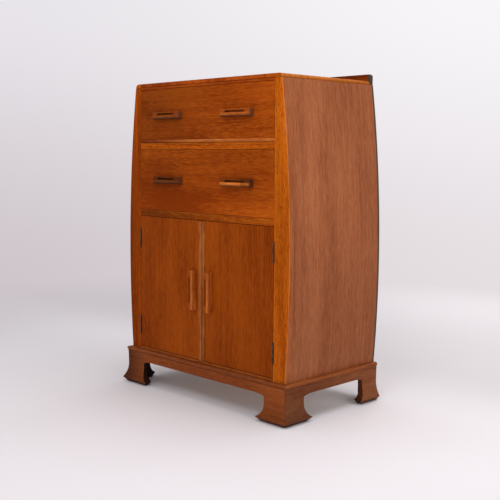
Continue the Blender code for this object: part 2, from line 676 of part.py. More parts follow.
def foot_blocks(side):
    """Glue blocks behind the feet of one side, let a little into its plinth board."""
    bm = bmesh.new()
    face = CASE_HALF_FOOT - PLINTH_IN
    front = FRONT + PLINTH_IN + TOUCH
    rear = BACK - BACK_PLINTH_THICKNESS - TOUCH
    for start in (front, rear - FOOT_BLOCK):
        low, high = mirrored((face - FOOT_BLOCK, start, FOOT_BLOCK_CLEAR),
                             (face + PLINTH_IN / 2, start + FOOT_BLOCK, PLINTH_TOP - 2 * TOUCH), side)
        add_box(bm, low, high)
    return bm


# The drawers

def tail_spans(foot, head):
    """The tails' lower and upper edges at their roots."""
    pitch = (head - foot) / TAILS
    pin = pitch * PIN_SHARE
    return [(foot + pitch * index + pin / 2, foot + pitch * (index + 1) - pin / 2) for index in range(TAILS)]


def tail_outline(span, root, tip):
    """One tail as (y, z): narrow at the root and wide at the tip."""
    low, high = span
    spread = abs(tip - root) * TAIL_SLOPE
    return [(root, low), (tip, low - spread), (tip, high + spread), (root, high)]


def socket_outline(span, root, tip, beyond):
    """The space for a tail, with its clearance, open behind the root and carried on beyond the tip."""
    outward = math.copysign(1.0, tip - root)
    low, high = span
    narrow, wide = tail_outline((low - TOUCH, high + TOUCH), root, tip)[:2]
    top_wide = high + TOUCH + (narrow[1] - wide[1])
    behind = root - outward * OVERRUN
    end = tip + outward * beyond
    return [(behind, narrow[1]), narrow, (tip, wide[1]), (end, wide[1]), (end, top_wide), (tip, top_wide),
            (root, high + TOUCH), (behind, high + TOUCH)]


class Drawer:
    """The sizes of one drawer, worked out from the opening that it fills."""

    def __init__(self, stem, foot, opening, lipping):
        self.stem = stem
        self.half = HALF_OPENING - DRAWER_GAP
        self.front_foot = foot + DRAWER_GAP
        self.front_head = foot + opening - DRAWER_GAP
        self.side_foot = foot + TOUCH
        self.side_head = foot + opening - DRAWER_SIDE_DROP
        self.bottom_foot = foot + BOTTOM_RISE
        self.bottom_head = self.bottom_foot + DRAWER_BOTTOM
        self.back_foot = self.bottom_head + TOUCH
        self.back_head = self.side_head - DRAWER_BACK_DROP
        self.lipping = lipping
        self.inner = self.half - DRAWER_SIDE
        self.shoulder = FRONT + DRAWER_FRONT + TOUCH
        self.lap = FRONT + LAP + TOUCH
        self.rear = DRAWER_REAR
        self.rear_root = DRAWER_REAR - DRAWER_BACK
        self.spans = tail_spans(self.back_foot + TOUCH, self.back_head)

    def front_tails(self):
        return [tail_outline(span, self.shoulder, self.lap) for span in self.spans]

    def rear_tails(self):
        return [tail_outline(span, self.rear_root - TOUCH, self.rear) for span in self.spans]

    def front_sockets(self):
        return [socket_outline(span, self.shoulder, self.lap, TOUCH) for span in self.spans]

    def rear_sockets(self):
        return [socket_outline(span, self.rear_root - TOUCH, self.rear, OVERRUN) for span in self.spans]

    def side_outline(self):
        """The side seen from the side, with its tails at both ends, as (y, z)."""
        points = [(self.shoulder, self.side_foot)]
        for tail in self.front_tails():
            points.extend(tail)
        points.append((self.shoulder, self.side_head))
        points.append((self.rear, self.side_head))
        points.append((self.rear, self.back_head + TOUCH))
        points.append((self.rear_root - TOUCH, self.back_head + TOUCH))
        for tail in self.rear_tails()[::-1]:
            points.extend(tail[::-1])
        points.append((self.rear_root - TOUCH, self.bottom_head + TOUCH))
        points.append((self.rear, self.bottom_head + TOUCH))
        points.append((self.rear, self.side_foot))
        return points


def make_drawer(drawer, body):
    foot = drawer.front_foot
    if drawer.lipping:
        board(drawer.stem + "_lipping", (-drawer.half, FRONT, foot),
              (drawer.half, FRONT + DRAWER_FRONT, foot + LIPPING_HEIGHT), OAK_BEAD, body)
        foot = foot + LIPPING_HEIGHT + TOUCH
    front = board(drawer.stem + "_front", (-drawer.half, FRONT, foot),
                  (drawer.half, FRONT + DRAWER_FRONT, drawer.front_head), OAK_DRAWER, body)
    back = board(drawer.stem + "_back", (-drawer.half, drawer.rear_root, drawer.back_foot),
                 (drawer.half, drawer.rear, drawer.back_head), OAK_INNER, body)
    sockets = bmesh.new()
    rear_sockets = bmesh.new()
    for side in (-1, 1):
        start = side * (drawer.inner - TOUCH)
        end = side * (drawer.half + OVERRUN)
        for outline in drawer.front_sockets():
            add_prism(sockets, outline, "x", start, end)
        for outline in drawer.rear_sockets():
            add_prism(rear_sockets, outline, "x", start, end)
    grooved = drawer.inner + GROOVE_DEPTH
    add_box(sockets, (-grooved, FRONT + DRAWER_FRONT - GROOVE_DEPTH, drawer.bottom_foot - TOUCH),
            (grooved, FRONT + DRAWER_FRONT + OVERRUN, drawer.bottom_head + TOUCH))
    change(front, cutter(drawer.stem + "_front_sockets", sockets, body), "DIFFERENCE")
    change(back, cutter(drawer.stem + "_back_sockets", rear_sockets, body), "DIFFERENCE")
    groove = bmesh.new()
    add_box(groove, (-grooved, drawer.lap - OVERRUN, drawer.bottom_foot - TOUCH),
            (grooved, drawer.rear + OVERRUN, drawer.bottom_head + TOUCH))
    groove_cutter = cutter(drawer.stem + "_grooves", groove, body)
    for side in (-1, 1):
        item = sawn(side_name(drawer.stem + "_side", side), drawer.side_outline(), "x", side * drawer.inner,
                    side * drawer.half, OAK_INNER, body)
        change(item, groove_cutter, "DIFFERENCE")
    half = grooved - TOUCH
    board(drawer.stem + "_bottom", (-half, FRONT + DRAWER_FRONT - GROOVE_DEPTH + TOUCH, drawer.bottom_foot),
          (half, drawer.rear, drawer.bottom_head), PLY, body)
    middle = (drawer.front_foot + drawer.front_head) / 2
    for side in (-1, 1):
        place = (side * DRAWER_HANDLE_CENTRE, FRONT - TOUCH, middle)
        make_handle(side_name(drawer.stem + "_handle", side), place, 0.0, body)


# Handles

def make_handle(name, place, turn, body):
    """A handle carved from one block: a bar with a deep slot above it, and a cove in the flank below it."""
    half = HANDLE_LENGTH / 2
    span = half - HANDLE_BLOCK
    edge = HANDLE_WIDTH / 2
    slot_high = edge - HANDLE_LIP
    block = bmesh.new()
    add_box(block, (-half, -HANDLE_PROUD, -edge), (half, 0.0, edge))
    waste = bmesh.new()
    add_box(waste, (-span, -HANDLE_PROUD - OVERRUN, slot_high - HANDLE_SLOT),
            (span, -HANDLE_PROUD + HANDLE_SLOT_DEPTH, slot_high))
    cove_front = -HANDLE_PROUD + HANDLE_NOSING
    cove = ellipse((cove_front + HANDLE_GROOVE / 2, -edge), (HANDLE_GROOVE / 2, HANDLE_GROOVE_DEPTH), 0, 180,
                   COVE_STEPS)
    mouth = [(cove_front, -edge - OVERRUN), (cove_front + HANDLE_GROOVE, -edge - OVERRUN)]
    add_prism(waste, cove + mouth, "x", -half - OVERRUN, half + OVERRUN)
    move = Matrix.Translation(place) @ Matrix.Rotation(turn, 4, "Y")
    bmesh.ops.transform(block, matrix=move, verts=block.verts)
    bmesh.ops.transform(waste, matrix=move, verts=waste.verts)
    item = finish_piece(name, block, place, OAK_HANDLE, body)
    soften(item, HANDLE_EDGE)
    change(item, cutter(name + "_waste", waste, body), "DIFFERENCE")


# The doors and their hinges

def hinge_feet():
    """The height of each hinge's lower end."""
    return (DOOR_FOOT + HINGE_INSET, DOOR_HEAD - HINGE_INSET - HINGE_LENGTH)


def knuckle_spans(foot, door):
    """The knuckles of the door's leaf, or those of the case's leaf, as lower and upper ends."""
    pitch = HINGE_LENGTH / KNUCKLES
    return [(foot + pitch * index + KNUCKLE_GAP / 2, foot + pitch * (index + 1) - KNUCKLE_GAP / 2)
            for index in range(KNUCKLES) if (index % 2 == 1) == door]


def make_leaf(name, side, foot, door, body):
    """A hinge leaf flush in its mortise. The case's leaf carries the pin, and the door's is bored for it."""
    near = HALF_OPENING - DOOR_SIDE_GAP - LEAF_THICKNESS if door else HALF_OPENING
    far = near + LEAF_THICKNESS
    plate = bmesh.new()
    add_box(plate, *mirrored((near, FRONT + TOUCH, foot), (far, FRONT + LEAF_REACH, foot + HINGE_LENGTH),
                             side))
    item = finish_piece(name, plate, (side * HINGE_X, HINGE_Y, foot), BRASS, body)
    straps = bmesh.new()
    barrels = bmesh.new()
    for start, end in knuckle_spans(foot, door):
        add_box(straps, *mirrored((near, HINGE_Y, start), (far, FRONT + 2 * TOUCH, end), side))
        middle = (side * HINGE_X, HINGE_Y, (start + end) / 2)
        add_cylinder(barrels, middle, KNUCKLE_RADIUS, end - start, KNUCKLE_SIDES)
    middle = (side * HINGE_X, HINGE_Y, foot + HINGE_LENGTH / 2)
    rod = bmesh.new()
    add_cylinder(rod, middle, KNUCKLE_BORE if door else PIN_RADIUS, HINGE_LENGTH + OVERRUN * door,
                 KNUCKLE_SIDES)
    change(item, cutter(name + "_straps", straps, body), "UNION")
    change(item, cutter(name + "_barrels", barrels, body), "UNION")
    change(item, cutter(name + "_rod", rod, body), "DIFFERENCE" if door else "UNION")
    smooth(item)


def make_hinge_leaves(side, door, body):
    stem = "left" if side < 0 else "right"
    for level, foot in zip(("lower", "upper"), hinge_feet()):
        make_leaf(f"{stem}_{level}_{'door' if door else 'frame'}_leaf", side, foot, door, body)


def bead_outline(side):
    """The section of a meeting bead as (x, y): two small reeds side by side."""
    inner = DOOR_MEETING_GAP / 2
    reed = BEAD_WIDTH / BEAD_REEDS
    shoulder = BEAD_PROUD / 2
    points = [(inner, FRONT - TOUCH)]
    for index in range(BEAD_REEDS):
        centre = (inner + reed * index + reed / 2, FRONT - shoulder)
        points.extend(ellipse(centre, (reed / 2, BEAD_PROUD - shoulder), 180, 360, REED_STEPS))
    points.append((inner + BEAD_WIDTH, FRONT - TOUCH))
    kept = [points[0]]
    for point in points[1:]:
        if math.dist(point, kept[-1]) > TOUCH / 10:
            kept.append(point)
    return [(side * x, y) for x, y in kept]


def make_door(side, body):
    stem = "left_door" if side < 0 else "right_door"
    outer = HALF_OPENING - DOOR_SIDE_GAP
    low, high = mirrored((DOOR_MEETING_GAP / 2, FRONT, DOOR_FOOT), (outer, FRONT + DOOR_THICKNESS, DOOR_HEAD),
                         side)
    panel = board(stem + "_panel", low, high, OAK_DOOR, body)
    mortises = bmesh.new()
    for foot in hinge_feet():
        low, high = mirrored((outer - LEAF_THICKNESS - TOUCH, FRONT - OVERRUN, foot - TOUCH),
                             (outer + OVERRUN, FRONT + LEAF_REACH + TOUCH, foot + HINGE_LENGTH + TOUCH), side)
        add_box(mortises, low, high)
    change(panel, cutter(stem + "_mortises", mortises, body), "DIFFERENCE")
    sawn(stem + "_meeting_bead", bead_outline(side), "z", DOOR_FOOT, DOOR_HEAD - BEAD_TOP_GAP, OAK_BEAD, body)
    make_handle(stem + "_handle", (side * DOOR_HANDLE_CENTRE, FRONT - TOUCH, (DOOR_FOOT + DOOR_HEAD) / 2),
                -math.pi / 2, body)
    make_hinge_leaves(side, True, body)


def main():
    clear_scene()
    case = empty("case", (0.0, 0.0, 0.0))
    make_sides(case)
    make_uprights(case)
    make_top(case)
    make_rails(case)
    make_catches(case)
    make_bottom(case)
    make_back(case)
    make_runners(case)
    make_shelf(case)
    make_base(case)
    for side in (-1, 1):
        make_hinge_leaves(side, False, case)
    for stem, foot, opening, lipping in (("upper_drawer", UPPER_DRAWER_FOOT, UPPER_DRAWER_OPENING, True),
                                         ("lower_drawer", LOWER_DRAWER_FOOT, LOWER_DRAWER_OPENING, False)):
        drawer = Drawer(stem, foot, opening, lipping)
        make_drawer(drawer, empty(stem, (0.0, FRONT, foot)))
    for side, name in ((-1, "left_door"), (1, "right_door")):
        make_door(side, empty(name, (side * HINGE_X, HINGE_Y, DOOR_FOOT)))


main()
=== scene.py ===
"""Finishes and fittings of an oak tallboy: a bowed case of two drawers over a cupboard, on bracket feet.

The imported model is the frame. Each operator finishes one group of its pieces, and the last lays the stage.
"""
import json
import math

import bmesh
import bpy
from mathutils import Matrix, Vector

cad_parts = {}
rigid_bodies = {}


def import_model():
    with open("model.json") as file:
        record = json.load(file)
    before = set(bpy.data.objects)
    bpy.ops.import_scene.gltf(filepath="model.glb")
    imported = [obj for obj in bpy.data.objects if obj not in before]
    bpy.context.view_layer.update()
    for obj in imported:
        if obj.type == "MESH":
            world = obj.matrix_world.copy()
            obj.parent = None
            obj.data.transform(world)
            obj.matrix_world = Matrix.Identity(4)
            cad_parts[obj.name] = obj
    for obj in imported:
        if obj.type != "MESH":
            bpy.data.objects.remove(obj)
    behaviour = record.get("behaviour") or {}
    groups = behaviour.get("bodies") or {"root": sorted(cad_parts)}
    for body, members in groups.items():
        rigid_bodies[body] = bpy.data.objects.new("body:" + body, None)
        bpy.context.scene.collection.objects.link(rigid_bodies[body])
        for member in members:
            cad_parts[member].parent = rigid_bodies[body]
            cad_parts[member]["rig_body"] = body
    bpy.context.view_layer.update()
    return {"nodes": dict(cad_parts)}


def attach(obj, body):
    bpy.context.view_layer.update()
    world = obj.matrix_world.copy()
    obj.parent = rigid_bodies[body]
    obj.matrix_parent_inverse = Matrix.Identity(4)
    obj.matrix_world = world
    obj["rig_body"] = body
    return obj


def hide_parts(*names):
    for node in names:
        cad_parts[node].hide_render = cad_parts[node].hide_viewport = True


bl_info = {
    "name": "Oak tallboy",
    "version": (1, 0, 0),
    "blender": (4, 5, 0),
    "location": "3D View > Sidebar > Tallboy",
    "description": "Polished oak, brass and fittings for a tallboy with bowed sides",
    "category": "Object",
}

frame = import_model()

# How the grain of a board lies: along the first axis, and across its face on the second.
GRAIN = {
    "xz": (90, 0, 0),
    "zx": (90, 0, 90),
    "zy": (0, 90, 0),
    "yz": (-90, -90, 0),
    "xy": (0, 0, 0),
}
UPWARDS, DOWNWARDS = (0, 0, 1), (0, 0, -1)
RIGHTWARDS, LEFTWARDS = (1, 0, 0), (-1, 0, 0)
BACKWARDS, FORWARDS = (0, 1, 0), (0, -1, 0)
SIDES = ("left", "right")


def length(name, description, default):
    """A length in metres that a user may change."""
    return bpy.props.FloatProperty(
        name=name, description=description, default=default, min=0, unit="LENGTH", precision=5
    )


def tone(name, description, default):
    """A colour that a user may change."""
    return bpy.props.FloatVectorProperty(
        name=name, description=description, default=default, size=3, min=0, max=1, subtype="COLOR"
    )


class TallboySizes(bpy.types.PropertyGroup):
    """Sizes of the softened edges and the small fittings."""

    board_arris: length("Board arris", "Rounding of the edges of the front's boards", 0.0010)
    stile_arris: length("Stile arris", "Rounding of the front corner of the stiles and posts", 0.0026)
    panel_arris: length("Panel arris", "Rounding of the edges of drawers and doors", 0.0008)
    fine_arris: length("Fine arris", "Rounding of the edges of handles and mouldings", 0.0007)
    hinge_screw: length("Hinge screw", "Head radius of the hinge screws", 0.0027)
    back_screw: length("Back screw", "Head radius of the screws of the back board", 0.0036)
    handle_screw: length("Handle screw", "Head radius of the screws behind the handles", 0.0042)


class TallboyColours(bpy.types.PropertyGroup):
    """Colours of the finishes."""

    drawer: tone("Drawer", "Figured oak of the drawer fronts", (0.300, 0.052, 0.0025))
    door: tone("Door", "Straight-grained oak of the doors", (0.262, 0.046, 0.002))
    # the sides' veneer, with the sheen that the bowed sides catch painted into its paler, pinker tone
    side: tone("Side", "Veneer of the bowed sides", (0.318, 0.091, 0.026))
    stile: tone("Stile", "Bright oak of the bowed front stiles", (0.440, 0.090, 0.003))
    rail: tone("Rail", "Oak of the rails", (0.430, 0.084, 0.003))
    top: tone("Top", "Oak of the top board", (0.345, 0.057, 0.0025))
    plinth: tone("Plinth", "Oak of the plinth and its moulding", (0.215, 0.053, 0.011))
    sill: tone("Sill", "Darkened oak under the doors", (0.270, 0.062, 0.008))
    # painted shade on the side panels' rear edges, and the grey-brown of the upstand's right end
    dust: tone("Dust", "Grey-brown of the edges at the back", (0.078, 0.050, 0.033))
    # painted shade: the dark tone of the plinth's hidden faces and of the shadow under each drawer handle's
    # bar
    painted_shade: tone("Shaded", "Stain on the hidden faces of the plinth", (0.026, 0.010, 0.006))
    lipping: tone("Lipping", "Paler oak of the strips and beads", (0.350, 0.096, 0.016))
    handle: tone("Handle", "Oak of the handles' bars", (0.310, 0.074, 0.009))
    # grimy polish and painted shade in the handles' slots, and painted shade on their right ends
    grime_and_shade: tone("Grime", "Polish and grime in the slots of the handles", (0.250, 0.051, 0.005))
    inner: tone("Inner oak", "Unpolished oak inside", (0.520, 0.330, 0.170))
    ply: tone("Plywood", "Thin boards of the back and the drawers", (0.360, 0.220, 0.120))
    brass: tone("Brass", "Aged brass of the hinges and catches", (0.190, 0.138, 0.075))
    floor: tone("Floor", "Pale studio floor", (0.880, 0.835, 0.860))
    backdrop: tone("Backdrop", "Pale studio wall", (0.940, 0.923, 0.949))


def sizes():
    """The sizes set for this scene."""
    return bpy.context.scene.tallboy_sizes


def colours():
    """The colours set for this scene."""
    return bpy.context.scene.tallboy_colours


class Tree:
    """Lays nodes in a material or a group, and joins them."""

    def __init__(self, tree):
        self.tree = tree
        tree.nodes.clear()

    def add(self, kind, sockets=(), **settings):
        """A node with its settings, and its inputs joined or set."""
        node = self.tree.nodes.new(kind)
        for name, value in settings.items():
            setattr(node, name, value)
        for key, value in dict(sockets).items():
            if isinstance(value, bpy.types.NodeSocket):
                self.join(value, node.inputs[key])
            else:
                node.inputs[key].default_value = value
        return node

    def join(self, source, target):
        """Joins an output to an input."""
        self.tree.links.new(source, target)

    def math(self, operation, first, second=0.0):
        """One sum of two values."""
        return self.add("ShaderNodeMath", {0: first, 1: second}, operation=operation).outputs[0]

    def times(self, first, second):
        """One value times another."""
        return self.math("MULTIPLY", first, second)

    def dot(self, first, second):
        """How far one direction goes along another."""
        node = self.add("ShaderNodeVectorMath", {0: first, 1: second}, operation="DOT_PRODUCT")
        return node.outputs["Value"]

    def scaled(self, vector, factors):
        """A vector with each axis multiplied."""
        node = self.add("ShaderNodeVectorMath", {0: vector, 1: factors}, operation="MULTIPLY")
        return node.outputs[0]

    def noise(self, vector, along, across, detail=2.0, roughness=0.5):
        """Noise drawn out along the grain: its patches are one over these numbers long and wide."""
        return self.add(
            "ShaderNodeTexNoise",
            {
                "Vector": self.scaled(vector, (along, across, across)),
                "Scale": 1.0,
                "Detail": detail,
                "Roughness": roughness,
            },
        ).outputs[0]

    def wave(self, vector, *numbers):
        """Noise about zero."""
        return self.math("SUBTRACT", self.noise(vector, *numbers), 0.5)

    def level(self, value, low, high, start=0.0, end=1.0):
        """A value eased from start to end as it goes from low to high."""
        node = self.add(
            "ShaderNodeMapRange",
            {0: value, 1: low, 2: high, 3: start, 4: end},
            interpolation_type="SMOOTHSTEP",
        )
        return node.outputs[0]

    def mix(self, factor, first, second, blend="MIX"):
        """Two colours mixed."""
        node = self.add(
            "ShaderNodeMix", {0: factor, 6: first, 7: second}, data_type="RGBA", blend_type=blend
        )
        return node.outputs[2]


# What an effect puts out.
EFFECT = (("Color", "Color"), ("Roughness", "Float"), ("Height", "Float"))


def group(name, inputs, outputs=EFFECT):
    """An empty node group with its sockets, and the tree that fills it."""
    made = bpy.data.node_groups.new(name, "ShaderNodeTree")
    for way, sockets in (("INPUT", inputs), ("OUTPUT", outputs)):
        for label, kind in sockets:
            made.interface.new_socket(label, in_out=way, socket_type="NodeSocket" + kind)
    tree = Tree(made)
    return tree, tree.add("NodeGroupInput").outputs, tree.add("NodeGroupOutput").inputs


def finished(tree, sockets, *values):
    """A group whose values are joined to its outputs."""
    for value, socket in zip(values, sockets):
        tree.join(value, socket)
    return tree.tree


GRAIN_DEPTH = 0.02  # how quickly the figure changes into a board, beside how it does on its face
# Each noise here is given by its patches along and across the grain, its detail and its roughness.
SWAY = (1.5, 4, 1)
SWAY_REACH = 0.035
OAK_LAYERS = (
    # label, its share, noise
    ("Figure", 4, 1.5, 7, 2),
    ("Bands", 4, 2.6, 85, 3),
    ("Streaks", 2.2, 5, 240, 3),
    ("Streaks", 4, 30, 200, 2),
    ("Streaks", 2.5, 30, 1500, 1),
)
OAK_MARKS = {
    # noise, from and to which value the mark sets in, and its strength there if not 0 and 1
    "fleck": (30, 190, 2, 0.6, 0.50, 0.61),
    "fleck patch": (2.5, 4, 2, 0.5, 0.42, 0.62),
    "fine pore": (95, 2300, 1, 0.5, 0.58, 0.70),
    "coarse pore": (45, 900, 1, 0.5, 0.64, 0.74),
    "tick": (75, 260, 1, 0.5, 0.61, 0.70),
    "end speck": (60, 1500, 2, 0.5, 0.35, 0.65, 0.35, 0.85),
    "rub": (14, 14, 3, 0.5, 0.35, 0.6, 0.25, 0.9),
}
END_GRAIN = (0.75, 0.95)
SMEAR = (7, 11, 3)
SMEAR_ROUGHNESS = 0.24
PORE_ROUGHNESS = 0.18
FIGURE_RELIEF = 0.25
OAK_COLOURS = ("Light", "Dark", "Pore", "Fleck", "Worn")
OAK_LABELS = ("Figure", "Bands", "Streaks", "Pores", "Flecks", "Fleck patch", "Ticks", "Polish")


def oak_group():
    """Quartered oak: bands, fine streaks, open pores, ray flecks, end grain and worn arrises, dark on some
    kinds partly as painted shade.
    """
    if "Oak" in bpy.data.node_groups:
        return bpy.data.node_groups["Oak"]
    inputs = [(label, "Vector") for label in ("Vector", "Normal")]
    inputs += [(label, "Color") for label in OAK_COLOURS]
    inputs += [(label, "Float") for label in OAK_LABELS]
    tree, given, out = group("Oak", inputs)

    def mark(name, vector):
        """A mask of one kind of mark."""
        return tree.level(tree.noise(vector, *OAK_MARKS[name][:4]), *OAK_MARKS[name][4:])

    face = tree.scaled(given["Vector"], (1, 1, GRAIN_DEPTH))
    sway = tree.add("ShaderNodeCombineXYZ", {1: tree.wave(face, *SWAY)}).outputs[0]
    aside = tree.scaled(sway, (0, SWAY_REACH, 0))
    swung = tree.add("ShaderNodeVectorMath", {0: face, 1: aside}, operation="ADD").outputs[0]
    value = 0.5
    for amount, share, *numbers in OAK_LAYERS:
        layer = tree.times(tree.wave(swung, *numbers), tree.times(given[amount], share))
        value = tree.math("ADD", value, layer)
    value = tree.math("MINIMUM", tree.math("MAXIMUM", value, 0), 1)
    colour = tree.mix(value, given["Dark"], given["Light"])
    even = tree.math("SUBTRACT", 1, given["Fleck patch"])
    patch = tree.math("MAXIMUM", mark("fleck patch", face), even)
    fleck = tree.times(tree.times(mark("fleck", swung), patch), given["Flecks"])
    colour = tree.mix(fleck, colour, given["Fleck"])
    pore = tree.math("MAXIMUM", mark("fine pore", swung), mark("coarse pore", swung))
    pore = tree.times(pore, given["Pores"])
    colour = tree.mix(pore, colour, given["Pore"])
    colour = tree.mix(tree.times(mark("tick", swung), given["Ticks"]), colour, given["Pore"])
    along = tree.add("ShaderNodeSeparateXYZ", {0: given["Normal"]}).outputs[0]
    end = tree.level(tree.math("ABSOLUTE", along), *END_GRAIN)
    colour = tree.mix(tree.times(end, mark("end speck", given["Vector"])), colour, given["Dark"])
    # arrises take the worn tone: wear, and on dark-edged kinds partly painted shade
    arris = tree.add("ShaderNodeAttribute", attribute_name="arris").outputs["Fac"]
    colour = tree.mix(tree.times(arris, mark("rub", given["Vector"])), colour, given["Worn"])
    smear = tree.times(tree.wave(given["Vector"], *SMEAR), SMEAR_ROUGHNESS)
    rough = tree.math("ADD", given["Polish"], smear)
    rough = tree.math("ADD", rough, tree.times(pore, PORE_ROUGHNESS))
    relief = tree.math("SUBTRACT", tree.times(value, FIGURE_RELIEF), pore)
    return finished(tree, out, colour, rough, relief)


TARNISH_CLOUD = (160, 160, 4, 0.6)
TARNISH_GRIT = (1400, 1400, 2)
TARNISH_EDGE = (0.5, 0.8)
GRIT_SHARE = 0.3
METAL_ROUGHNESS = (0.34, 0.62)
METAL_GROUND = (1.5, 1.5, 1.5)
METAL_TARNISH = (0.42, 0.36, 0.34)
METAL_BUMP = (0.2, 0.0001)
METALLIC = 0.9


def patina_group():
    """Old metal: a bright ground with brown tarnish in patches."""
    if "Patina" in bpy.data.node_groups:
        return bpy.data.node_groups["Patina"]
    inputs = (("Vector", "Vector"), ("Metal", "Color"), ("Tarnish", "Color"))
    tree, given, out = group("Patina", inputs)
    cloud = tree.noise(given["Vector"], *TARNISH_CLOUD)
    grit = tree.noise(given["Vector"], *TARNISH_GRIT)
    mask = tree.level(tree.math("ADD", cloud, tree.times(grit, GRIT_SHARE)), *TARNISH_EDGE)
    colour = tree.mix(mask, given["Metal"], given["Tarnish"])
    return finished(tree, out, colour, tree.level(mask, 0, 1, *METAL_ROUGHNESS), grit)


def tinted(colour, factors=(1, 1, 1)):
    """A colour times three factors, as a socket takes it."""
    return [min(1, part * factor) for part, factor in zip(colour, factors)] + [1]


def shader(name):
    """An empty material, the tree that fills it and its Principled shader."""
    made = bpy.data.materials.new(name)
    made.use_nodes = True
    tree = Tree(made.node_tree)
    surface = tree.add("ShaderNodeBsdfPrincipled")
    output = tree.add("ShaderNodeOutputMaterial")
    tree.join(surface.outputs[0], output.inputs[0])
    return made, tree, surface


def joined(tree, surface, colour, roughness, height, strength, distance):
    """Joins an effect's colour, roughness and height to the shader."""
    tree.join(colour, surface.inputs["Base Color"])
    tree.join(roughness, surface.inputs["Roughness"])
    bump = tree.add("ShaderNodeBump", {"Strength": strength, "Distance": distance, "Height": height})
    tree.join(bump.outputs[0], surface.inputs["Normal"])


OAK = {
    # a value for each of these labels, then specular and bump
    "drawer": (0.70, 0.20, 0.38, 0.25, 0.85, 0.95, 0.15, 0.44, 0.02, 0.35),
    "door": (0.50, 0.20, 0.34, 0.25, 0.15, 0.50, 0.12, 0.44, 0.02, 0.35),
    "side": (0.36, 0.18, 0.30, 0.30, 0.15, 0.50, 0.20, 0.50, 0.10, 0.35),
    "stile": (0.50, 0.28, 0.34, 0.40, 0.35, 0.40, 0.80, 0.42, 0.02, 0.40),
    "rail": (0.70, 0.45, 0.50, 0.50, 0.45, 0.40, 0.80, 0.44, 0.03, 0.35),
    "top": (0.50, 0.32, 0.42, 0.40, 0.20, 0.50, 0.40, 0.50, 0.04, 0.35),
    "plinth": (0.50, 0.26, 0.30, 0.35, 0.15, 0.50, 0.30, 0.48, 0.06, 0.35),
    "sill": (0.70, 0.50, 0.45, 0.45, 0.10, 0.50, 0.30, 0.50, 0.04, 0.35),
    "lipping": (0.70, 0.60, 0.50, 0.35, 0.10, 0.50, 0.20, 0.48, 0.06, 0.35),
    "handle": (0.60, 0.40, 0.45, 0.40, 0.10, 0.50, 0.25, 0.42, 0.04, 0.35),
    "inner": (0.45, 0.36, 0.34, 0.45, 0.10, 0.50, 0.15, 0.72, 0.25, 0.50),
    "ply": (0.40, 0.28, 0.32, 0.35, 0.02, 0.50, 0.10, 0.74, 0.25, 0.50),
}
TINTS = (
    ("Light", (1.35, 1.50, 1.9)),
    ("Dark", (0.70, 0.58, 0.45)),
    ("Pore", (0.45, 0.34, 0.4)),
    ("Fleck", (1.40, 1.75, 2.4)),
)
WORN_LIGHT = (1.45, 1.9, 3.0)
# on the dark-edged kinds the arrises turn dark: partly wear, partly painted shade along edges and gaps
WORN_DARK_AND_EDGE_SHADE = (0.50, 0.40, 0.40)
DARK_EDGED = ("drawer", "door", "plinth", "sill", "top", "handle")
FIGURE_STEP = Vector((0.731, 0.317, 0))  # from the figure of one board to that of the next
OAK_RELIEF = 0.0003
boards_made = []


def figure_of(tree, place, kind, grain, shift):
    """The oak effect of one kind, with its grain laid one way and moved to a figure of its own."""
    turn = [math.radians(angle) for angle in GRAIN[grain]]
    moved = {"Vector": place.outputs["Object"], "Rotation": turn, "Location": FIGURE_STEP * shift}
    laid = tree.add("ShaderNodeMapping", moved)
    facing = tree.add(
        "ShaderNodeMapping", {"Vector": place.outputs["Normal"], "Rotation": turn}, vector_type="VECTOR"
    )
    effect = tree.add(
        "ShaderNodeGroup", {"Vector": laid.outputs[0], "Normal": facing.outputs[0]}, node_tree=oak_group()
    )
    base = getattr(colours(), kind)
    for label, factors in TINTS + (("Worn", WORN_DARK_AND_EDGE_SHADE if kind in DARK_EDGED else WORN_LIGHT),):
        effect.inputs[label].default_value = tinted(base, factors)
    for label, value in zip(OAK_LABELS, OAK[kind]):
        effect.inputs[label].default_value = value
    return effect


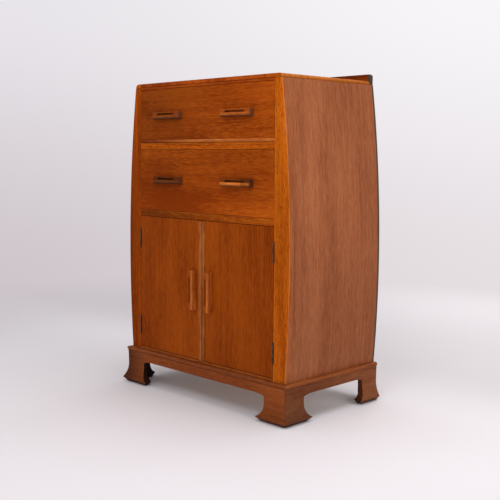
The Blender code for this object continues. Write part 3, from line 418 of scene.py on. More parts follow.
FADES = (
    # piece, direction, from, to, tone there and there; rows that paint light or shade say so
    # painted shade: the sides darker towards the bottom
    ("side_panel_left", UPWARDS, 0.15, 0.80, 0.82, 1.0),
    ("side_panel_right", UPWARDS, 0.15, 0.80, 0.82, 1.0),
    # painted shade: the left stile darker all over; painted highlight towards its top
    ("front_stile_left", UPWARDS, 0.15, 0.45, 0.54, 0.50),
    ("front_stile_left", UPWARDS, 0.75, 1.02, 1.0, 1.46),
    # painted highlight towards the right stile's top
    ("front_stile_right", UPWARDS, 0.75, 1.1, 1.0, 1.14),
    # painted shade: the left post darker, and the right post darker towards the bottom
    ("front_post_left", UPWARDS, 0.15, 1.1, 0.50, 0.64),
    ("front_post_right", UPWARDS, 0.75, 1.1, 0.88, 1.0),
    # painted highlight along the right post's edge beside the drawers
    ("front_post_right", RIGHTWARDS, 0.3405, 0.3440, 1.45, 1.0),
    # painted shade: the drawer fronts darker towards the left
    ("upper_drawer_front", RIGHTWARDS, -0.34, 0.34, 0.66, 1.12),
    ("lower_drawer_front", RIGHTWARDS, -0.34, 0.34, 0.90, 0.98),
    # the lower drawer lighter towards its foot
    ("lower_drawer_front", UPWARDS, 0.68, 0.76, 1.18, 1.0),
    # painted shade: the right door darker towards the bottom
    ("right_door_panel", UPWARDS, 0.12, 0.45, 0.90, 1.0),
    # painted shade: the lipping darker towards the left; painted shadow of the gap under it
    ("upper_drawer_lipping", RIGHTWARDS, -0.34, 0.34, 0.74, 1.66),
    ("upper_drawer_lipping", UPWARDS, 0.9034, 0.9056, 0.30, 1.0),
    # one handle darker towards its right end
    ("lower_drawer_handle_right", RIGHTWARDS, 0.198, 0.208, 1.0, 0.60),
    # painted shade: the plinth darker towards the floor and at its toes, and the front's left foot darker
    ("plinth_front", UPWARDS, 0.014, 0.09, 0.74, 1.15),
    ("plinth_front", UPWARDS, 0.003, 0.012, 0.30, 1.0),
    ("plinth_front", RIGHTWARDS, -0.42, -0.28, 0.36, 1.0),
    ("plinth_left", UPWARDS, 0.005, 0.05, 0.60, 1.0),
    ("plinth_right", UPWARDS, 0.014, 0.09, 0.56, 0.84),
    ("plinth_right", UPWARDS, 0.003, 0.012, 0.35, 1.0),
    # the right plinth board lighter towards the back
    ("plinth_right", BACKWARDS, -0.20, 0.20, 0.87, 1.25),
    # painted shade: the lower rail darker towards the left
    ("lower_rail", RIGHTWARDS, -0.34, 0.34, 0.46, 0.78),
    # painted shade on the upstand's front, darker towards its top
    ("back_upstand", UPWARDS, 1.115, 1.135, 0.85, 0.50),
)
FILTERS = {
    # piece: what its colour is multiplied by
    "left_door_meeting_bead": (0.88, 0.88, 0.88),
    "right_door_meeting_bead": (0.88, 0.88, 0.88),
    "middle_rail": (0.93, 0.90, 0.60),
    "front_stile_left": (1, 0.76, 0.40),
    "front_post_left": (1, 0.76, 0.40),
    "plinth_front": (1, 0.95, 0.78),
    "plinth_right": (1, 1.20, 1.70),
}
HANDLE_TONES = {
    # piece: tones of its bar, of the painted shade and grimy polish over its slot and of its painted-shade
    # right end; the tones differ from handle to handle as painted light and shade
    "upper_drawer_handle_left": (0.85, 0.90, 1.20),
    "upper_drawer_handle_right": (1.42, 1.25, 1.25),
    "lower_drawer_handle_left": (0.50, 0.42, 1.05),
    "lower_drawer_handle_right": (1.75, 0.68, 1.10),
    "left_door_handle": (1.40, 1.1, 1.0),
    "right_door_handle": (1.40, 1.1, 1.0),
}
GREYED_EDGES = {
    # piece: direction, from where to where it turns grey-brown; on the side panels' rear edges this is
    # painted shade
    "side_panel_left": (BACKWARDS, 0.2350, 0.2385),
    "side_panel_right": (BACKWARDS, 0.2350, 0.2385),
    "back_upstand": (RIGHTWARDS, 0.355, 0.361),
}
TOP_ENDS = (0.3380, 0.3405)  # where the top board's front turns upright in its grain
# painted light: how much the top board's right-facing faces are lightened
TOP_SIDE_LIGHT = (1.32, 2.20, 5.00)
# painted shade on the cut ends of the side plinth boards, lighter than on their hidden faces
CUT_END_SHADE = (0.50, 0.42, 0.38)
# painted shade on the handles' right ends, tinted purple-grey as a painted reflection
HANDLE_END_SHADE_TINT = (0.50, 0.84, 4.80)
# where the painted shade and grimy polish over the slot start and end
SLOT_SHADE_EDGE = (-0.001, 0.003)  # from the middle of the handle
# where the painted shadow under the handle's bar starts and ends
FOOT_SHADOW_EDGE = (0.003, 0.008)  # from its lower edge
# how fully the painted end shade and the painted foot shadow cover a drawer handle
END_SHADE_COVER = 0.85
FOOT_SHADOW_COVER = 0.75
LIPPING_FIGURED = (-0.30, 0.02)
# Between which shares of a face's direction it turns that way.
TURNED_OUT = (0.10, 0.45)
TURNED_BACK = (0.3, 0.7)
TURNED_RIGHT = (0.3, 0.7)
TURNED_FORWARD = (-0.5, -0.2)
TURNED_DOWN = (-0.7, -0.3)
# between which shares a face turns right to take the handle's painted end shade
HANDLE_END_SHADE_FACING = (0.5, 0.8)
KNUCKLES = (-0.2190, -0.2180)  # in front of these the brass is dark
KNUCKLE_TONE = (0.34, 0.38, 0.55)


def corners_of(node):
    """The least and the greatest corner of a CAD node's box."""
    corners = frame["nodes"][node].bound_box
    return [Vector(pick(corner[axis] for corner in corners) for axis in range(3)) for pick in (min, max)]


def middle_of(node):
    """The middle of a CAD node's box."""
    return sum(corners_of(node), Vector()) / 2


def turned(tree, place, direction, *span):
    """A mask by how far a face looks one way."""
    return tree.level(tree.dot(place.outputs["Normal"], direction), *span)


def lying(tree, place, direction, *span):
    """A mask by how far a point lies one way."""
    return tree.level(tree.dot(place.outputs["Object"], direction), *span)


def veneered(tree, place, colour, roughness, shift):
    """A stile's outer face, which shows the veneer of the side with its painted sheen."""
    veneer = figure_of(tree, place, "side", "zy", shift)
    mask = tree.add("ShaderNodeAttribute", attribute_name="outer").outputs["Fac"]
    sheen = {0: mask, 2: roughness, 3: veneer.outputs["Roughness"]}
    return tree.mix(mask, colour, veneer.outputs["Color"]), tree.add("ShaderNodeMix", sheen).outputs[0]


def shaded_hidden_faces(tree, place, colour, outward):
    """A plinth board with painted shade on its hidden faces, and lighter painted shade on its cut ends."""
    hidden = turned(tree, place, outward, *TURNED_OUT, 1, 0)
    ends = tree.math("ABSOLUTE", tree.dot(place.outputs["Normal"], BACKWARDS))
    cut = tree.level(ends, *TURNED_BACK, 0, abs(outward[0]))
    shade_tone = tree.mix(cut, tinted(colours().painted_shade), tinted(colours().plinth, CUT_END_SHADE))
    return tree.mix(hidden, colour, shade_tone)


def handled(tree, place, colour, name, slot_side):
    """A handle with its bar, painted shade and grimy polish over its slot, painted shade with a purple-grey
    painted reflection on its right end, and a painted shadow at its foot.
    """
    bar_tone, slot_shade_tone, end_shade_tone = HANDLE_TONES[name]
    upright = slot_side[2]
    middle = middle_of(name).dot(Vector(slot_side))
    foot = min(corner.dot(Vector(slot_side)) for corner in corners_of(name))
    # painted shade and grimy polish over the slot
    slot_grime_and_shade = lying(tree, place, slot_side, *(middle + edge for edge in SLOT_SHADE_EDGE))
    # painted shadow along the foot of a drawer handle
    low = lying(tree, place, slot_side, *(foot + edge for edge in FOOT_SHADOW_EDGE), FOOT_SHADOW_COVER * upright, 0)
    # painted shade with a purple-grey painted reflection on the right end
    end = turned(tree, place, RIGHTWARDS, *HANDLE_END_SHADE_FACING, 0, END_SHADE_COVER * upright)
    colour = tree.scaled(colour, (bar_tone,) * 3)
    colour = tree.mix(slot_grime_and_shade, colour, tinted(colours().grime_and_shade, (slot_shade_tone,) * 3))
    colour = tree.mix(low, colour, tinted(colours().painted_shade))
    return tree.mix(end, colour, tinted(colours().grime_and_shade, [end_shade_tone * part for part in HANDLE_END_SHADE_TINT]))


def topped(tree, place, colour, shift):
    """The top board, whose front ends run upright as the stiles do, with painted light on its right-facing
    faces.
    """
    upright = figure_of(tree, place, "stile", "zx", shift).outputs["Color"]
    across = tree.math("ABSOLUTE", tree.dot(place.outputs["Object"], RIGHTWARDS))
    front = turned(tree, place, BACKWARDS, *TURNED_FORWARD, 1, 0)
    colour = tree.mix(tree.times(tree.level(across, *TOP_ENDS), front), colour, upright)
    # painted light on the faces that turn right
    side = turned(tree, place, RIGHTWARDS, *TURNED_RIGHT)
    return tree.mix(side, colour, tree.scaled(colour, TOP_SIDE_LIGHT))


def oak(name, kind, grain, outward=None, slot_side=None):
    """Oak of one kind.

    With an outward direction, faces that don't look that way take painted shade. With the direction
    in which a handle's slot lies, that half takes painted shade and grimy polish, and its foot and its right
    end painted shade.
    """
    shift = len(boards_made)
    boards_made.append(name)
    made, tree, surface = shader(name + "_oak")
    place = tree.add("ShaderNodeTexCoord")
    colour, roughness, height = figure_of(tree, place, kind, grain, shift).outputs
    if kind == "stile":
        colour, roughness = veneered(tree, place, colour, roughness, shift)
    if outward:
        # painted shade on the faces that don't look outward
        colour = shaded_hidden_faces(tree, place, colour, outward)
    if slot_side:
        colour = handled(tree, place, colour, name, slot_side)
    if name == "top_board":
        colour = topped(tree, place, colour, shift)
    if name == "upper_drawer_lipping":
        figured = figure_of(tree, place, "drawer", grain, shift).outputs["Color"]
        colour = tree.mix(lying(tree, place, RIGHTWARDS, *LIPPING_FIGURED, 1, 0), colour, figured)
    if name == "bottom_board":
        raw = figure_of(tree, place, "inner", grain, shift).outputs["Color"]
        colour = tree.mix(turned(tree, place, UPWARDS, *TURNED_DOWN, 1, 0), colour, raw)
    if name in FILTERS:
        colour = tree.scaled(colour, FILTERS[name])
    for piece, direction, *span in FADES:
        if piece == name:
            faded = tree.add("ShaderNodeVectorMath", {0: colour}, operation="SCALE")
            tree.join(lying(tree, place, direction, *span), faded.inputs["Scale"])
            colour = faded.outputs[0]
    # painted shade on the sides' rear edges, and grey-brown on the upstand's right end
    if name in GREYED_EDGES:
        colour = tree.mix(lying(tree, place, *GREYED_EDGES[name]), colour, tinted(colours().dust))
    *_, specular, bump = OAK[kind]
    joined(tree, surface, colour, roughness, height, bump, OAK_RELIEF)
    surface.inputs["Specular IOR Level"].default_value = specular
    return made


def metal(kind):
    """Aged metal of one kind."""
    name = kind + "_aged"
    if name in bpy.data.materials:
        return bpy.data.materials[name]
    base = getattr(colours(), kind)
    made, tree, surface = shader(name)
    place = tree.add("ShaderNodeTexCoord")
    effect = tree.add("ShaderNodeGroup", {"Vector": place.outputs["Object"]}, node_tree=patina_group())
    effect.inputs["Metal"].default_value = tinted(base, METAL_GROUND)
    effect.inputs["Tarnish"].default_value = tinted(base, METAL_TARNISH)
    colour, roughness, height = effect.outputs
    front = lying(tree, place, BACKWARDS, *KNUCKLES, 1, 0)
    colour = tree.mix(front, colour, tree.scaled(colour, KNUCKLE_TONE))
    joined(tree, surface, colour, roughness, height, *METAL_BUMP)
    surface.inputs["Metallic"].default_value = METALLIC
    return made


MERGE_DISTANCE = 0.00002
FLAT_ANGLE = math.radians(0.4)
ARRIS_ANGLE = math.radians(33)
SMOOTH_ANGLE = math.radians(38)
FRONT_ZONE = -0.215
REAR_ZONE = 0.240
STILE_INNER = 0.3600
POST_MARGIN = 0.015
TURNED_ASIDE = 0.8  # a share of a face's direction
RUNS_ACROSS = 0.9  # a share of an edge's direction
MARKED = 1  # the material slot that the rounded faces are in until they are listed


def select_only(item):
    """Makes one object the only selected and the active one."""
    bpy.ops.object.select_all(action="DESELECT")
    item.select_set(True)
    bpy.context.view_layer.objects.active = item


def apply_modifier(item, kind, **settings):
    """Adds a modifier with its settings and applies it."""
    select_only(item)
    modifier = item.modifiers.new(kind, kind)
    for name, value in settings.items():
        setattr(modifier, name, value)
    bpy.ops.object.modifier_apply(modifier=modifier.name)


def body_of(node):
    """The body that a CAD node moves with."""
    return frame["nodes"][node]["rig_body"]


def seated(piece, body, slot, material, *nodes):
    """Puts a finished piece on its body, with its material, in place of the nodes it stands for; the slot is
    not used.
    """
    piece.data.materials.clear()
    piece.data.materials.append(material)
    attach(piece, body)
    if nodes:
        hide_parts(*nodes)
    return piece


def weigh_arrises(mesh, rounded):
    """Marks the sharp edges that are to be rounded: rounded(middle, direction) picks them."""
    work = bmesh.new()
    work.from_mesh(mesh)
    weight = work.edges.layers.float.new("bevel_weight_edge")
    for edge in work.edges:
        first, second = (vertex.co for vertex in edge.verts)
        sharp = len(edge.link_faces) == 2 and edge.calc_face_angle() > ARRIS_ANGLE
        if sharp and rounded((first + second) / 2, (second - first).normalized()):
            edge[weight] = 1.0
    work.to_mesh(mesh)
    work.free()


def every_edge(middle, direction):
    """Picks all the sharp edges."""
    return True


def softened(node, slot, material, arris, rounded=every_edge, flat=True):
    """A copy of a CAD board with its arrises rounded, and the rounded faces marked for wear, and on
    dark-edged kinds for painted shade along the edges.
    """
    mesh = frame["nodes"][node].data.copy()
    piece = bpy.data.objects.new(node + "_timber", mesh)
    bpy.context.scene.collection.objects.link(piece)
    select_only(piece)
    bpy.ops.object.mode_set(mode="EDIT")
    bpy.ops.mesh.customdata_custom_splitnormals_clear()
    bpy.ops.mesh.select_all(action="SELECT")
    bpy.ops.mesh.remove_doubles(threshold=MERGE_DISTANCE)
    bpy.ops.mesh.mark_sharp(clear=True)
    if flat:
        bpy.ops.mesh.dissolve_limited(angle_limit=FLAT_ANGLE)
    bpy.ops.object.mode_set(mode="OBJECT")
    weigh_arrises(mesh, rounded)
    mesh.materials.clear()
    mesh.materials.append(None)
    mesh.materials.append(None)
    shape = {"width": arris, "segments": 2, "limit_method": "WEIGHT", "miter_outer": "MITER_ARC"}
    apply_modifier(piece, "BEVEL", material=MARKED, **shape)
    mesh = piece.data
    faces = mesh.polygons
    worn = [float(face.material_index == MARKED) for face in faces]
    aside = [float(abs(face.normal.x) > TURNED_ASIDE and abs(face.center.x) > STILE_INNER) for face in faces]
    for name, values in (("arris", worn), ("outer", aside)):
        mesh.attributes.new(name, "FLOAT", "FACE").data.foreach_set("value", values)
    faces.foreach_set("material_index", [0] * len(faces))
    select_only(piece)
    bpy.ops.object.shade_smooth_by_angle(angle=SMOOTH_ANGLE)
    apply_modifier(piece, "WEIGHTED_NORMAL", keep_sharp=True)
    return seated(piece, body_of(node), slot, material, node)


def coated(node, material):
    """Gives a CAD node that stays its material."""
    item = frame["nodes"][node]
    if not item.material_slots:
        raise RuntimeError(f"{node} has no material slot")
    item.material_slots[0].material = material


def plain(node, kind, grain):
    """Gives a CAD node that stays oak of one kind."""
    coated(node, oak(node, kind, grain))


def along_front(middle, direction):
    """Picks the edges that run across the front."""
    return abs(direction.x) > RUNS_ACROSS


def stile_arris(middle, direction):
    """Picks the outer front arris of a stile."""
    return abs(middle.x) > STILE_INNER and middle.y < FRONT_ZONE


def post_arris(middle, direction):
    """Picks a post's front arris beside the opening."""
    return abs(middle.x) < STILE_INNER - POST_MARGIN and middle.y < FRONT_ZONE


def rear_arris(middle, direction):
    """Picks a side panel's edges at the back."""
    return middle.y > REAR_ZONE


class CaseOperator(bpy.types.Operator):
    """Finish the boards of the case, with softened arrises"""

    bl_idname = "tallboy.case"
    bl_label = "Case"

    def execute(self, context):
        """Softens and polishes each board that shows, and coats the rest."""
        soft, worn = sizes().board_arris, sizes().stile_arris
        for side in SIDES:
            for stem, kind, grain, slot, arris, rounded in (
                ("front_stile_", "stile", "zx", "oak_stile", worn, stile_arris),
                ("front_post_", "stile", "zx", "oak_rail", worn, post_arris),
                ("side_panel_", "side", "zy", "oak_side", soft, rear_arris),
            ):
                node = stem + side
                softened(node, slot, oak(node, kind, grain), arris, rounded)
            plain("rear_post_" + side, "inner", "zx")
        for node, kind, slot, rounded in (
            ("top_board", "top", "oak_top", every_edge),
            ("back_upstand", "top", "oak_side", every_edge),
            ("top_rail", "top", "oak_rail", along_front),
            ("middle_rail", "rail", "oak_rail", along_front),
            ("lower_rail", "rail", "oak_rail", along_front),
            ("bottom_board", "sill", "oak_rail", along_front),
        ):
            grain = "xy" if node == "top_board" else "xz"
            softened(node, slot, oak(node, kind, grain), soft, rounded)
        plain("back_panel", "ply", "zx")
        return {"FINISHED"}


class DrawersOperator(bpy.types.Operator):
    """Finish the drawers: figured fronts, and unpolished oak boxes"""

    bl_idname = "tallboy.drawers"
    bl_label = "Drawers"

    def execute(self, context):
        """Softens the fronts and coats the boxes."""
        soft = sizes().panel_arris
        for drawer in ("upper_drawer", "lower_drawer"):
            front = drawer + "_front"
            softened(front, "oak_drawer", oak(front, "drawer", "xz"), soft)
            for side in SIDES:
                plain(f"{drawer}_side_{side}", "inner", "yz")
            plain(drawer + "_back", "inner", "xz")
            plain(drawer + "_bottom", "ply", "xy")
        strip = "upper_drawer_lipping"
        softened(strip, "oak_bead", oak(strip, "lipping", "xz"), sizes().fine_arris)
        return {"FINISHED"}


class DoorsOperator(bpy.types.Operator):
    """Finish the doors and the reeded beads where they meet"""

    bl_idname = "tallboy.doors"
    bl_label = "Doors"

    def execute(self, context):
        """Softens each door, and coats its bead."""
        for side in SIDES:
            door = side + "_door_panel"
            softened(door, "oak_door", oak(door, "door", "zx"), sizes().panel_arris)
            plain(side + "_door_meeting_bead", "lipping", "zx")
        return {"FINISHED"}


class HandlesOperator(bpy.types.Operator):
    """Finish the carved handles, each with a slot beside its bar"""

    bl_idname = "tallboy.handles"
    bl_label = "Handles"

    def execute(self, context):
        """Softens each handle, with its grain along the bar."""
        for side in SIDES:
            for stem, grain, slot_side in (
                (f"upper_drawer_handle_{side}", "xz", UPWARDS),
                (f"lower_drawer_handle_{side}", "xz", UPWARDS),
                (f"{side}_door_handle", "zx", LEFTWARDS),
            ):
                finish = oak(stem, "handle", grain, slot_side=slot_side)
                softened(stem, "oak_handle", finish, sizes().fine_arris)
        return {"FINISHED"}


class PlinthOperator(bpy.types.Operator):
    """Finish the moulded plinth and its bracket feet"""

    bl_idname = "tallboy.plinth"
    bl_label = "Plinth"

    def execute(self, context):
        """Softens the plinth boards and the moulding on them."""
        soft = sizes().fine_arris
        for part, grain, outward in (
            ("front", "xz", FORWARDS),
            ("left", "yz", LEFTWARDS),
            ("right", "yz", RIGHTWARDS),
            ("back", "xz", BACKWARDS),
        ):
            node = "plinth_" + part
            softened(node, "oak_plinth", oak(node, "plinth", grain, outward), soft, flat=False)
            if part != "back":
                node = "base_moulding_" + part
                softened(node, "oak_plinth", oak(node, "plinth", grain), soft)
        return {"FINISHED"}


class InsideOperator(bpy.types.Operator):
    """Coat the shelf, runners, dust boards, hinges and catches"""

    bl_idname = "tallboy.inside"
    bl_label = "Inside"

    def execute(self, context):
        """Coats what shows when the drawers and doors are open."""
        plain("cupboard_shelf", "inner", "xy")
        for level in ("upper", "lower"):
            plain(level + "_dust_board", "ply", "xy")
            for side in SIDES:
                plain(f"{level}_runner_{side}", "inner", "yz")
                coated(f"{side}_{level}_door_leaf", metal("brass"))
                coated(f"{side}_{level}_frame_leaf", metal("brass"))
        for side in SIDES:
            coated("ball_catch_" + side, metal("brass"))
        return {"FINISHED"}


HINGE_LEAVES = (("door", 0.3379, 1), ("frame", 0.3393, -1))  # leaf, its face's place and way out
HINGE_SCREW_Y = -0.2095
HINGE_SCREW_SPREAD = 0.023
HANDLE_SCREW_SPREAD = 0.045
SCREW_PROUD = 0.00015
BACK_SCREW_HEIGHTS = (0.18, 0.40, 0.62, 0.84, 1.06)
BACK_SCREW_IN = 0.012
BOTTOM_SCREW_PLACES = (-0.22, 0.0, 0.22)
STRIKE_PROUD = 0.00025
TURN_STEP = 37  # degrees from one screw's slot to the next one's
SCREW_SIDES = 20
HEAD_DEPTH = 0.5  # times the head's radius, as the next four are
HEAD_FOOT = 0.55
HEAD_ROUNDING = 0.05
SLOT_LENGTH = 2.4
SLOT_WIDTH = 0.24
SLOT_DEPTH = 0.7  # times the head's depth
STRIKE_SIZE = (0.024, 0.0095, 0.0008)
STRIKE_CORNER = 0.0018
STRIKE_HOLE = {"vertices": 24, "radius": 0.0024, "depth": 0.004}
PIN_HOLE = {"vertices": 20, "radius1": 0.0006, "radius2": 0.0016, "depth": 0.0009}
PIN_HOLE_OUT = 0.0078


def half_width(node, height):
    """Half the width of a bowed board at a height."""
    reach = {}
    for vertex in frame["nodes"][node].data.vertices:
        level = round(vertex.co.z, 5)
        reach[level] = max(reach.get(level, 0), vertex.co.x)
    levels = sorted(reach)
    above = next(level for level in levels if level > height)
    below = levels[levels.index(above) - 1]
    share = (height - below) / (above - below)
    return reach[below] + (reach[above] - reach[below]) * share


def cut_away(item, tool):
    """Cuts a tool's shape out of a piece, and takes the tool away."""
    apply_modifier(item, "BOOLEAN", operation="DIFFERENCE", solver="EXACT", object=tool)
    bpy.data.objects.remove(tool)


def screw_head(radius):
    """A countersunk head with its slot, which looks up with its face at the origin."""
    depth = radius * HEAD_DEPTH
    shape = {"vertices": SCREW_SIDES, "radius1": radius * HEAD_FOOT, "radius2": radius, "depth": depth}
    bpy.ops.mesh.primitive_cone_add(location=(0, 0, -depth / 2), **shape)
    head = bpy.context.object
    bpy.ops.object.transform_apply()
    bpy.ops.mesh.primitive_cube_add(size=1, location=(0, 0, 0))
    slot = bpy.context.object
    slot.scale = (radius * SLOT_LENGTH, radius * SLOT_WIDTH, depth * SLOT_DEPTH)
    bpy.ops.object.transform_apply()
    cut_away(head, slot)
    apply_modifier(head, "BEVEL", width=radius * HEAD_ROUNDING, segments=2, limit_method="ANGLE")
    bpy.ops.object.shade_smooth_by_angle(angle=SMOOTH_ANGLE)
    return head


def strike_plate():
    """A thin plate with round corners and a hole for the catch's ball, its face at the origin."""
    bpy.ops.mesh.primitive_cube_add(size=1, location=(0, 0, -STRIKE_SIZE[2] / 2))
    plate = bpy.context.object
    plate.scale = STRIKE_SIZE
    bpy.ops.object.transform_apply()
    apply_modifier(plate, "BEVEL", width=STRIKE_CORNER, segments=4, limit_method="ANGLE")
    bpy.ops.mesh.primitive_cylinder_add(location=(0, 0, 0), **STRIKE_HOLE)
    cut_away(plate, bpy.context.object)
    for side in (-1, 1):
        bpy.ops.mesh.primitive_cone_add(location=(side * PIN_HOLE_OUT, 0, 0), **PIN_HOLE)
        cut_away(plate, bpy.context.object)
    select_only(plate)
    bpy.ops.object.shade_smooth_by_angle(angle=SMOOTH_ANGLE)
    return plate


def placed(master, name, place, facing, turn, node):
    """A brass copy of a fitting, turned about itself and then to face one way, on a node's body."""
    mesh = master.data.copy()
    spin = Matrix.Rotation(math.radians(turn), 4, "Z")
    tilt = Vector(facing).to_track_quat("Z", "Y").to_matrix().to_4x4()
    mesh.transform(Matrix.Translation(place) @ tilt @ spin)
    piece = bpy.data.objects.new(name, mesh)
    bpy.context.scene.collection.objects.link(piece)
    return seated(piece, body_of(node), "brass", metal("brass"))


class FittingsOperator(bpy.types.Operator):
    """Model the screws of hinges, handles, back and drawer bottoms, and the doors' strike plates"""

    bl_idname = "tallboy.fittings"
    bl_label = "Fittings"

    def execute(self, context):
        """Models each kind of fitting once, and puts its copies where they belong."""
        self.turn = 0
        self.hinge_screws()
        self.handle_screws()
        self.board_screws()
        plate = strike_plate()
        for side in SIDES:
            catch = middle_of("ball_catch_" + side)
            door = side + "_door_panel"
            place = (catch.x, catch.y, corners_of(door)[1].z + STRIKE_PROUD)
            placed(plate, side + "_strike_plate", place, UPWARDS, 0, door)
        bpy.data.objects.remove(plate)
        return {"FINISHED"}

    def screw(self, master, name, place, facing, node):
        """Puts in one screw, each a little further turned than the last."""
        self.turn += TURN_STEP
        placed(master, name, place, facing, self.turn, node)

    def hinge_screws(self):
        """Three screws in each leaf, on the faces that meet when the door is shut."""
        master = screw_head(sizes().hinge_screw)
        for side, sign in zip(SIDES, (-1, 1)):
            for level in ("lower", "upper"):
                for leaf, face, outward in HINGE_LEAVES:
                    node = f"{side}_{level}_{leaf}_leaf"
                    height = middle_of(node).z
                    for index in (-1, 0, 1):
                        place = (
                            sign * (face + outward * SCREW_PROUD),
                            HINGE_SCREW_Y,
                            height + index * HINGE_SCREW_SPREAD,
                        )
                        self.screw(master, f"{node}_screw_{index + 2}", place, (sign * outward, 0, 0), node)
        bpy.data.objects.remove(master)

    def handle_screws(self):
        """Two screws through each front, behind the ends of its handle."""
        master = screw_head(sizes().handle_screw)
        for side in SIDES:
            for handle, board, along in (
                (f"upper_drawer_handle_{side}", "upper_drawer_front", Vector(RIGHTWARDS)),
                (f"lower_drawer_handle_{side}", "lower_drawer_front", Vector(RIGHTWARDS)),
                (f"{side}_door_handle", f"{side}_door_panel", Vector(UPWARDS)),
            ):
                inner = corners_of(board)[1].y + SCREW_PROUD
                for index in (-1, 1):
                    place = middle_of(handle) + along * index * HANDLE_SCREW_SPREAD
                    place.y = inner
                    self.screw(master, f"{handle}_screw_{(index + 3) // 2}", place, BACKWARDS, board)
        bpy.data.objects.remove(master)

    def board_screws(self):
        """The screws of the back board and of the drawers' bottoms."""
        master = screw_head(sizes().back_screw)
        behind = corners_of("back_panel")[1].y + SCREW_PROUD
        for side, sign in zip(SIDES, (-1, 1)):
            for index, height in enumerate(BACK_SCREW_HEIGHTS, 1):
                place = (sign * (half_width("back_panel", height) - BACK_SCREW_IN), behind, height)
                self.screw(master, f"back_panel_screw_{side}_{index}", place, BACKWARDS, "back_panel")
        for drawer in ("upper_drawer", "lower_drawer"):
            y = middle_of(drawer + "_back").y
            under = corners_of(drawer + "_bottom")[0].z - SCREW_PROUD
            for index, x in enumerate(BOTTOM_SCREW_PLACES, 1):
                name = f"{drawer}_bottom_screw_{index}"
                self.screw(master, name, (x, y, under), DOWNWARDS, drawer + "_bottom")
        bpy.data.objects.remove(master)


CAMERA_PLACE = (2.2510, -2.2620, 0.8659)
CAMERA_TURN = 0.8024  # radians, as the next two are
CAMERA_DIP = 0.0697
CAMERA_ROLL = 0.0041
CAMERA_LENS = 63.58
CAMERA_SHIFT = (0.040, -0.070)
FLOOR_RADIUS = 30.0
FLOOR_SIDES = 96
FLOOR_DROP = 0.0002
FLOOR_FADE = (0.9, 3.2)  # how far out the floor turns to backdrop
FLOOR_BEHIND = (0.25, 0.80)  # how far back it turns darker
FLOOR_SHADE = (0.84, 0.83, 0.83)
FLOOR_CLOUD = (0.8, 0.8, 3)
FLOOR_CLOUD_EDGE = (0.3, 0.7)
FLOOR_DARKER = (0.985, 0.985, 0.985)
FLOOR_PALER = (1.01, 1.01, 1.01)
FLOOR_ROUGHNESS = 0.7
FLOOR_SPECULAR = 0.1


def photo_camera():
    """The camera, at the angle that the tallboy is shown from."""
    turn = Matrix.Rotation(CAMERA_TURN, 3, "Z") @ Matrix.Rotation(math.pi / 2 - CAMERA_DIP, 3, "X")
    turn @= Matrix.Rotation(CAMERA_ROLL, 3, "Z")
    bpy.ops.object.camera_add(location=CAMERA_PLACE, rotation=turn.to_euler())
    camera = bpy.context.object
    camera.name = "camera"
    camera.data.lens = CAMERA_LENS
    camera.data.shift_x, camera.data.shift_y = CAMERA_SHIFT
    bpy.context.scene.camera = camera


LAMPS = (
    # name, place, aim, width, height, watts
    ("key", (0.95, -1.65, 2.05), (0.1, -0.2, 0.7), 1.1, 1.0, 13),
    ("front", (0.4, -3.2, 0.9), (0.1, 0, 0.4), 2.4, 1.0, 13),
    ("top", (0.3, 0.2, 3.6), (0, 0, 0.5), 2.6, 2.6, 50),
    ("side", (3.0, 0.3, 1.3), (0.3, 0, 0.5), 1.8, 1.4, 20),
    ("back", (-0.3, 2.9, 0.9), (0.1, 0, 0.1), 2.0, 1.0, 22),
)
WORLD_LIGHT = (0.96, 0.97, 1.0, 1)
WORLD_STRENGTH = 0.74
WORLD_ZENITH = 0.45  # the share of it that comes from above
WORLD_RISE = (0.1, 0.6)
WHITE = (1, 1, 1, 1)
# painted shade on the backdrop: where it darkens low down and to the left, and by how much
WALL_RISE = (-0.16, 0.19)
WALL_ACROSS = (-0.30, 0.32)
WALL_LOW = (0.835, 0.795, 0.800, 1)
WALL_LEFT = (0.86, 0.845, 0.865, 1)
WALL_CORNER = (0.91, 0.900, 0.890, 1)


def lay_lamps():
    """Soft boxes round the tallboy."""
    for name, place, aim, width, height, watts in LAMPS:
        turn = (Vector(aim) - Vector(place)).to_track_quat("-Z", "Y").to_euler()
        bpy.ops.object.light_add(type="AREA", location=place, rotation=turn)
        lamp = bpy.context.object
        lamp.name = "lamp_" + name
        lamp.data.shape = "RECTANGLE"
        lamp.data.size, lamp.data.size_y = width, height
        lamp.data.energy = watts
        lamp.visible_camera = False


def shown_to(tree):
    """One where a ray comes from the camera or from a mirror or glass, and zero elsewhere."""
    rays = tree.add("ShaderNodeLightPath").outputs
    seen = tree.math("MAXIMUM", rays["Is Camera Ray"], rays["Is Glossy Ray"])
    return tree.math("MAXIMUM", seen, rays["Is Transmission Ray"])


def backdrop_group():
    """A seamless paper wall for a direction of view, with painted shade that darkens it lower down and to
    the left.
    """
    if "Backdrop" in bpy.data.node_groups:
        return bpy.data.node_groups["Backdrop"]
    tree, given, out = group("Backdrop", (("Vector", "Vector"), ("Paper", "Color")), EFFECT[:1])
    across = tree.dot(given["Vector"], (math.cos(CAMERA_TURN), math.sin(CAMERA_TURN), 0))
    rise = tree.add("ShaderNodeSeparateXYZ", {0: given["Vector"]}).outputs[2]
    low = tree.level(rise, *WALL_RISE, 1, 0)
    left = tree.level(across, *WALL_ACROSS, 1, 0)
    paper = given["Paper"]
    for mask, shade in ((low, WALL_LOW), (left, WALL_LEFT), (tree.times(low, left), WALL_CORNER)):
        paper = tree.mix(1.0, paper, tree.mix(mask, WHITE, shade), "MULTIPLY")
    return finished(tree, out, paper)


def papered(tree, looking):
    """The colour of the paper wall in a direction of view."""
    effect = tree.add("ShaderNodeGroup", {"Vector": looking}, node_tree=backdrop_group())
    effect.inputs["Paper"].default_value = tinted(colours().backdrop)
    return effect.outputs[0]


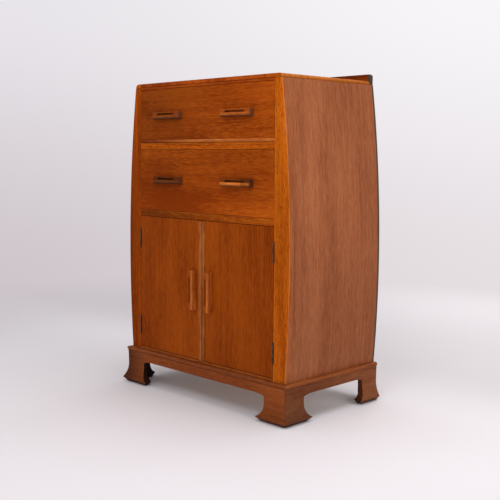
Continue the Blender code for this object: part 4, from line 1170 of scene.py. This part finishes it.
def lay_world():
    """Light from all round, less of it from above, with a pale backdrop behind it."""
    world = bpy.data.worlds.new("studio")
    bpy.context.scene.world = world
    world.use_nodes = True
    tree = Tree(world.node_tree)
    looking = tree.add("ShaderNodeTexCoord").outputs["Generated"]
    rise = tree.add("ShaderNodeSeparateXYZ", {0: looking}).outputs[2]
    glow = tree.level(rise, *WORLD_RISE, WORLD_STRENGTH, WORLD_STRENGTH * WORLD_ZENITH)
    light = tree.add("ShaderNodeBackground", {"Color": WORLD_LIGHT, "Strength": glow})
    wall = tree.add("ShaderNodeBackground", {"Color": papered(tree, looking), "Strength": 1.0})
    both = tree.add("ShaderNodeMixShader", {0: shown_to(tree), 1: light.outputs[0], 2: wall.outputs[0]})
    output = tree.add("ShaderNodeOutputWorld")
    tree.join(both.outputs[0], output.inputs[0])


def lay_floor():
    """A wide pale floor, which fades into the backdrop far off."""
    bpy.ops.mesh.primitive_circle_add(
        vertices=FLOOR_SIDES, radius=FLOOR_RADIUS, fill_type="TRIFAN", location=(0, 0, -FLOOR_DROP)
    )
    floor = bpy.context.object
    floor.name = "studio_floor"
    bpy.ops.object.transform_apply()
    made, tree, surface = shader("floor_paint")
    place = tree.add("ShaderNodeTexCoord").outputs["Object"]
    cloud = tree.level(tree.noise(place, *FLOOR_CLOUD), *FLOOR_CLOUD_EDGE)
    base = colours().floor
    paint = tree.mix(cloud, tinted(base, FLOOR_DARKER), tinted(base, FLOOR_PALER))
    behind = tree.level(tree.dot(place, BACKWARDS), *FLOOR_BEHIND)
    paint = tree.mix(behind, paint, tree.scaled(paint, FLOOR_SHADE))
    tree.join(paint, surface.inputs["Base Color"])
    surface.inputs["Roughness"].default_value = FLOOR_ROUGHNESS
    surface.inputs["Specular IOR Level"].default_value = FLOOR_SPECULAR
    away = tree.add("ShaderNodeVectorMath", {0: place}, operation="LENGTH").outputs["Value"]
    far = tree.level(away, *FLOOR_FADE)
    seen = tree.add("ShaderNodeVectorMath", {0: place, 1: CAMERA_PLACE}, operation="SUBTRACT").outputs[0]
    looking = tree.add("ShaderNodeVectorMath", {0: seen}, operation="NORMALIZE").outputs[0]
    haze = tree.add("ShaderNodeEmission", {"Color": papered(tree, looking), "Strength": 1.0})
    fade = tree.times(far, shown_to(tree))
    both = tree.add("ShaderNodeMixShader", {0: fade, 1: surface.outputs[0], 2: haze.outputs[0]})
    output = next(node for node in tree.tree.nodes if node.type == "OUTPUT_MATERIAL")
    tree.join(both.outputs[0], output.inputs[0])
    floor.data.materials.append(made)


class StageOperator(bpy.types.Operator):
    """Lay the studio: floor, backdrop, soft boxes and camera"""

    bl_idname = "tallboy.stage"
    bl_label = "Stage"

    def execute(self, context):
        """Lays everything that isn't part of the tallboy."""
        bpy.ops.object.select_all(action="DESELECT")
        context.scene.view_settings.view_transform = "Standard"
        photo_camera()
        lay_world()
        lay_lamps()
        lay_floor()
        return {"FINISHED"}


OPERATORS = (
    CaseOperator,
    DrawersOperator,
    DoorsOperator,
    HandlesOperator,
    PlinthOperator,
    InsideOperator,
    FittingsOperator,
    StageOperator,
)


class TallboyPanel(bpy.types.Panel):
    """Lists the steps that finish the tallboy"""

    bl_idname = "VIEW3D_PT_tallboy"
    bl_label = "Tallboy"
    bl_space_type = "VIEW_3D"
    bl_region_type = "UI"
    bl_category = "Tallboy"

    def draw(self, context):
        """Shows a button for each step, then the sizes and colours."""
        for step in OPERATORS:
            self.layout.operator(step.bl_idname)
        for values in (sizes(), colours()):
            for name in values.__annotations__:
                self.layout.prop(values, name)


CLASSES = (TallboySizes, TallboyColours, *OPERATORS, TallboyPanel)


def register():
    """Adds the classes, and their values to the scene."""
    for item in CLASSES:
        bpy.utils.register_class(item)
    bpy.types.Scene.tallboy_sizes = bpy.props.PointerProperty(type=TallboySizes)
    bpy.types.Scene.tallboy_colours = bpy.props.PointerProperty(type=TallboyColours)


def unregister():
    """Takes the values and the classes away."""
    del bpy.types.Scene.tallboy_colours
    del bpy.types.Scene.tallboy_sizes
    for item in reversed(CLASSES):
        bpy.utils.unregister_class(item)


def main():
    """Finishes the tallboy step by step."""
    register()
    for step in OPERATORS:
        family, verb = step.bl_idname.split(".")
        getattr(getattr(bpy.ops, family), verb)()


if __name__ == "__main__":
    main()
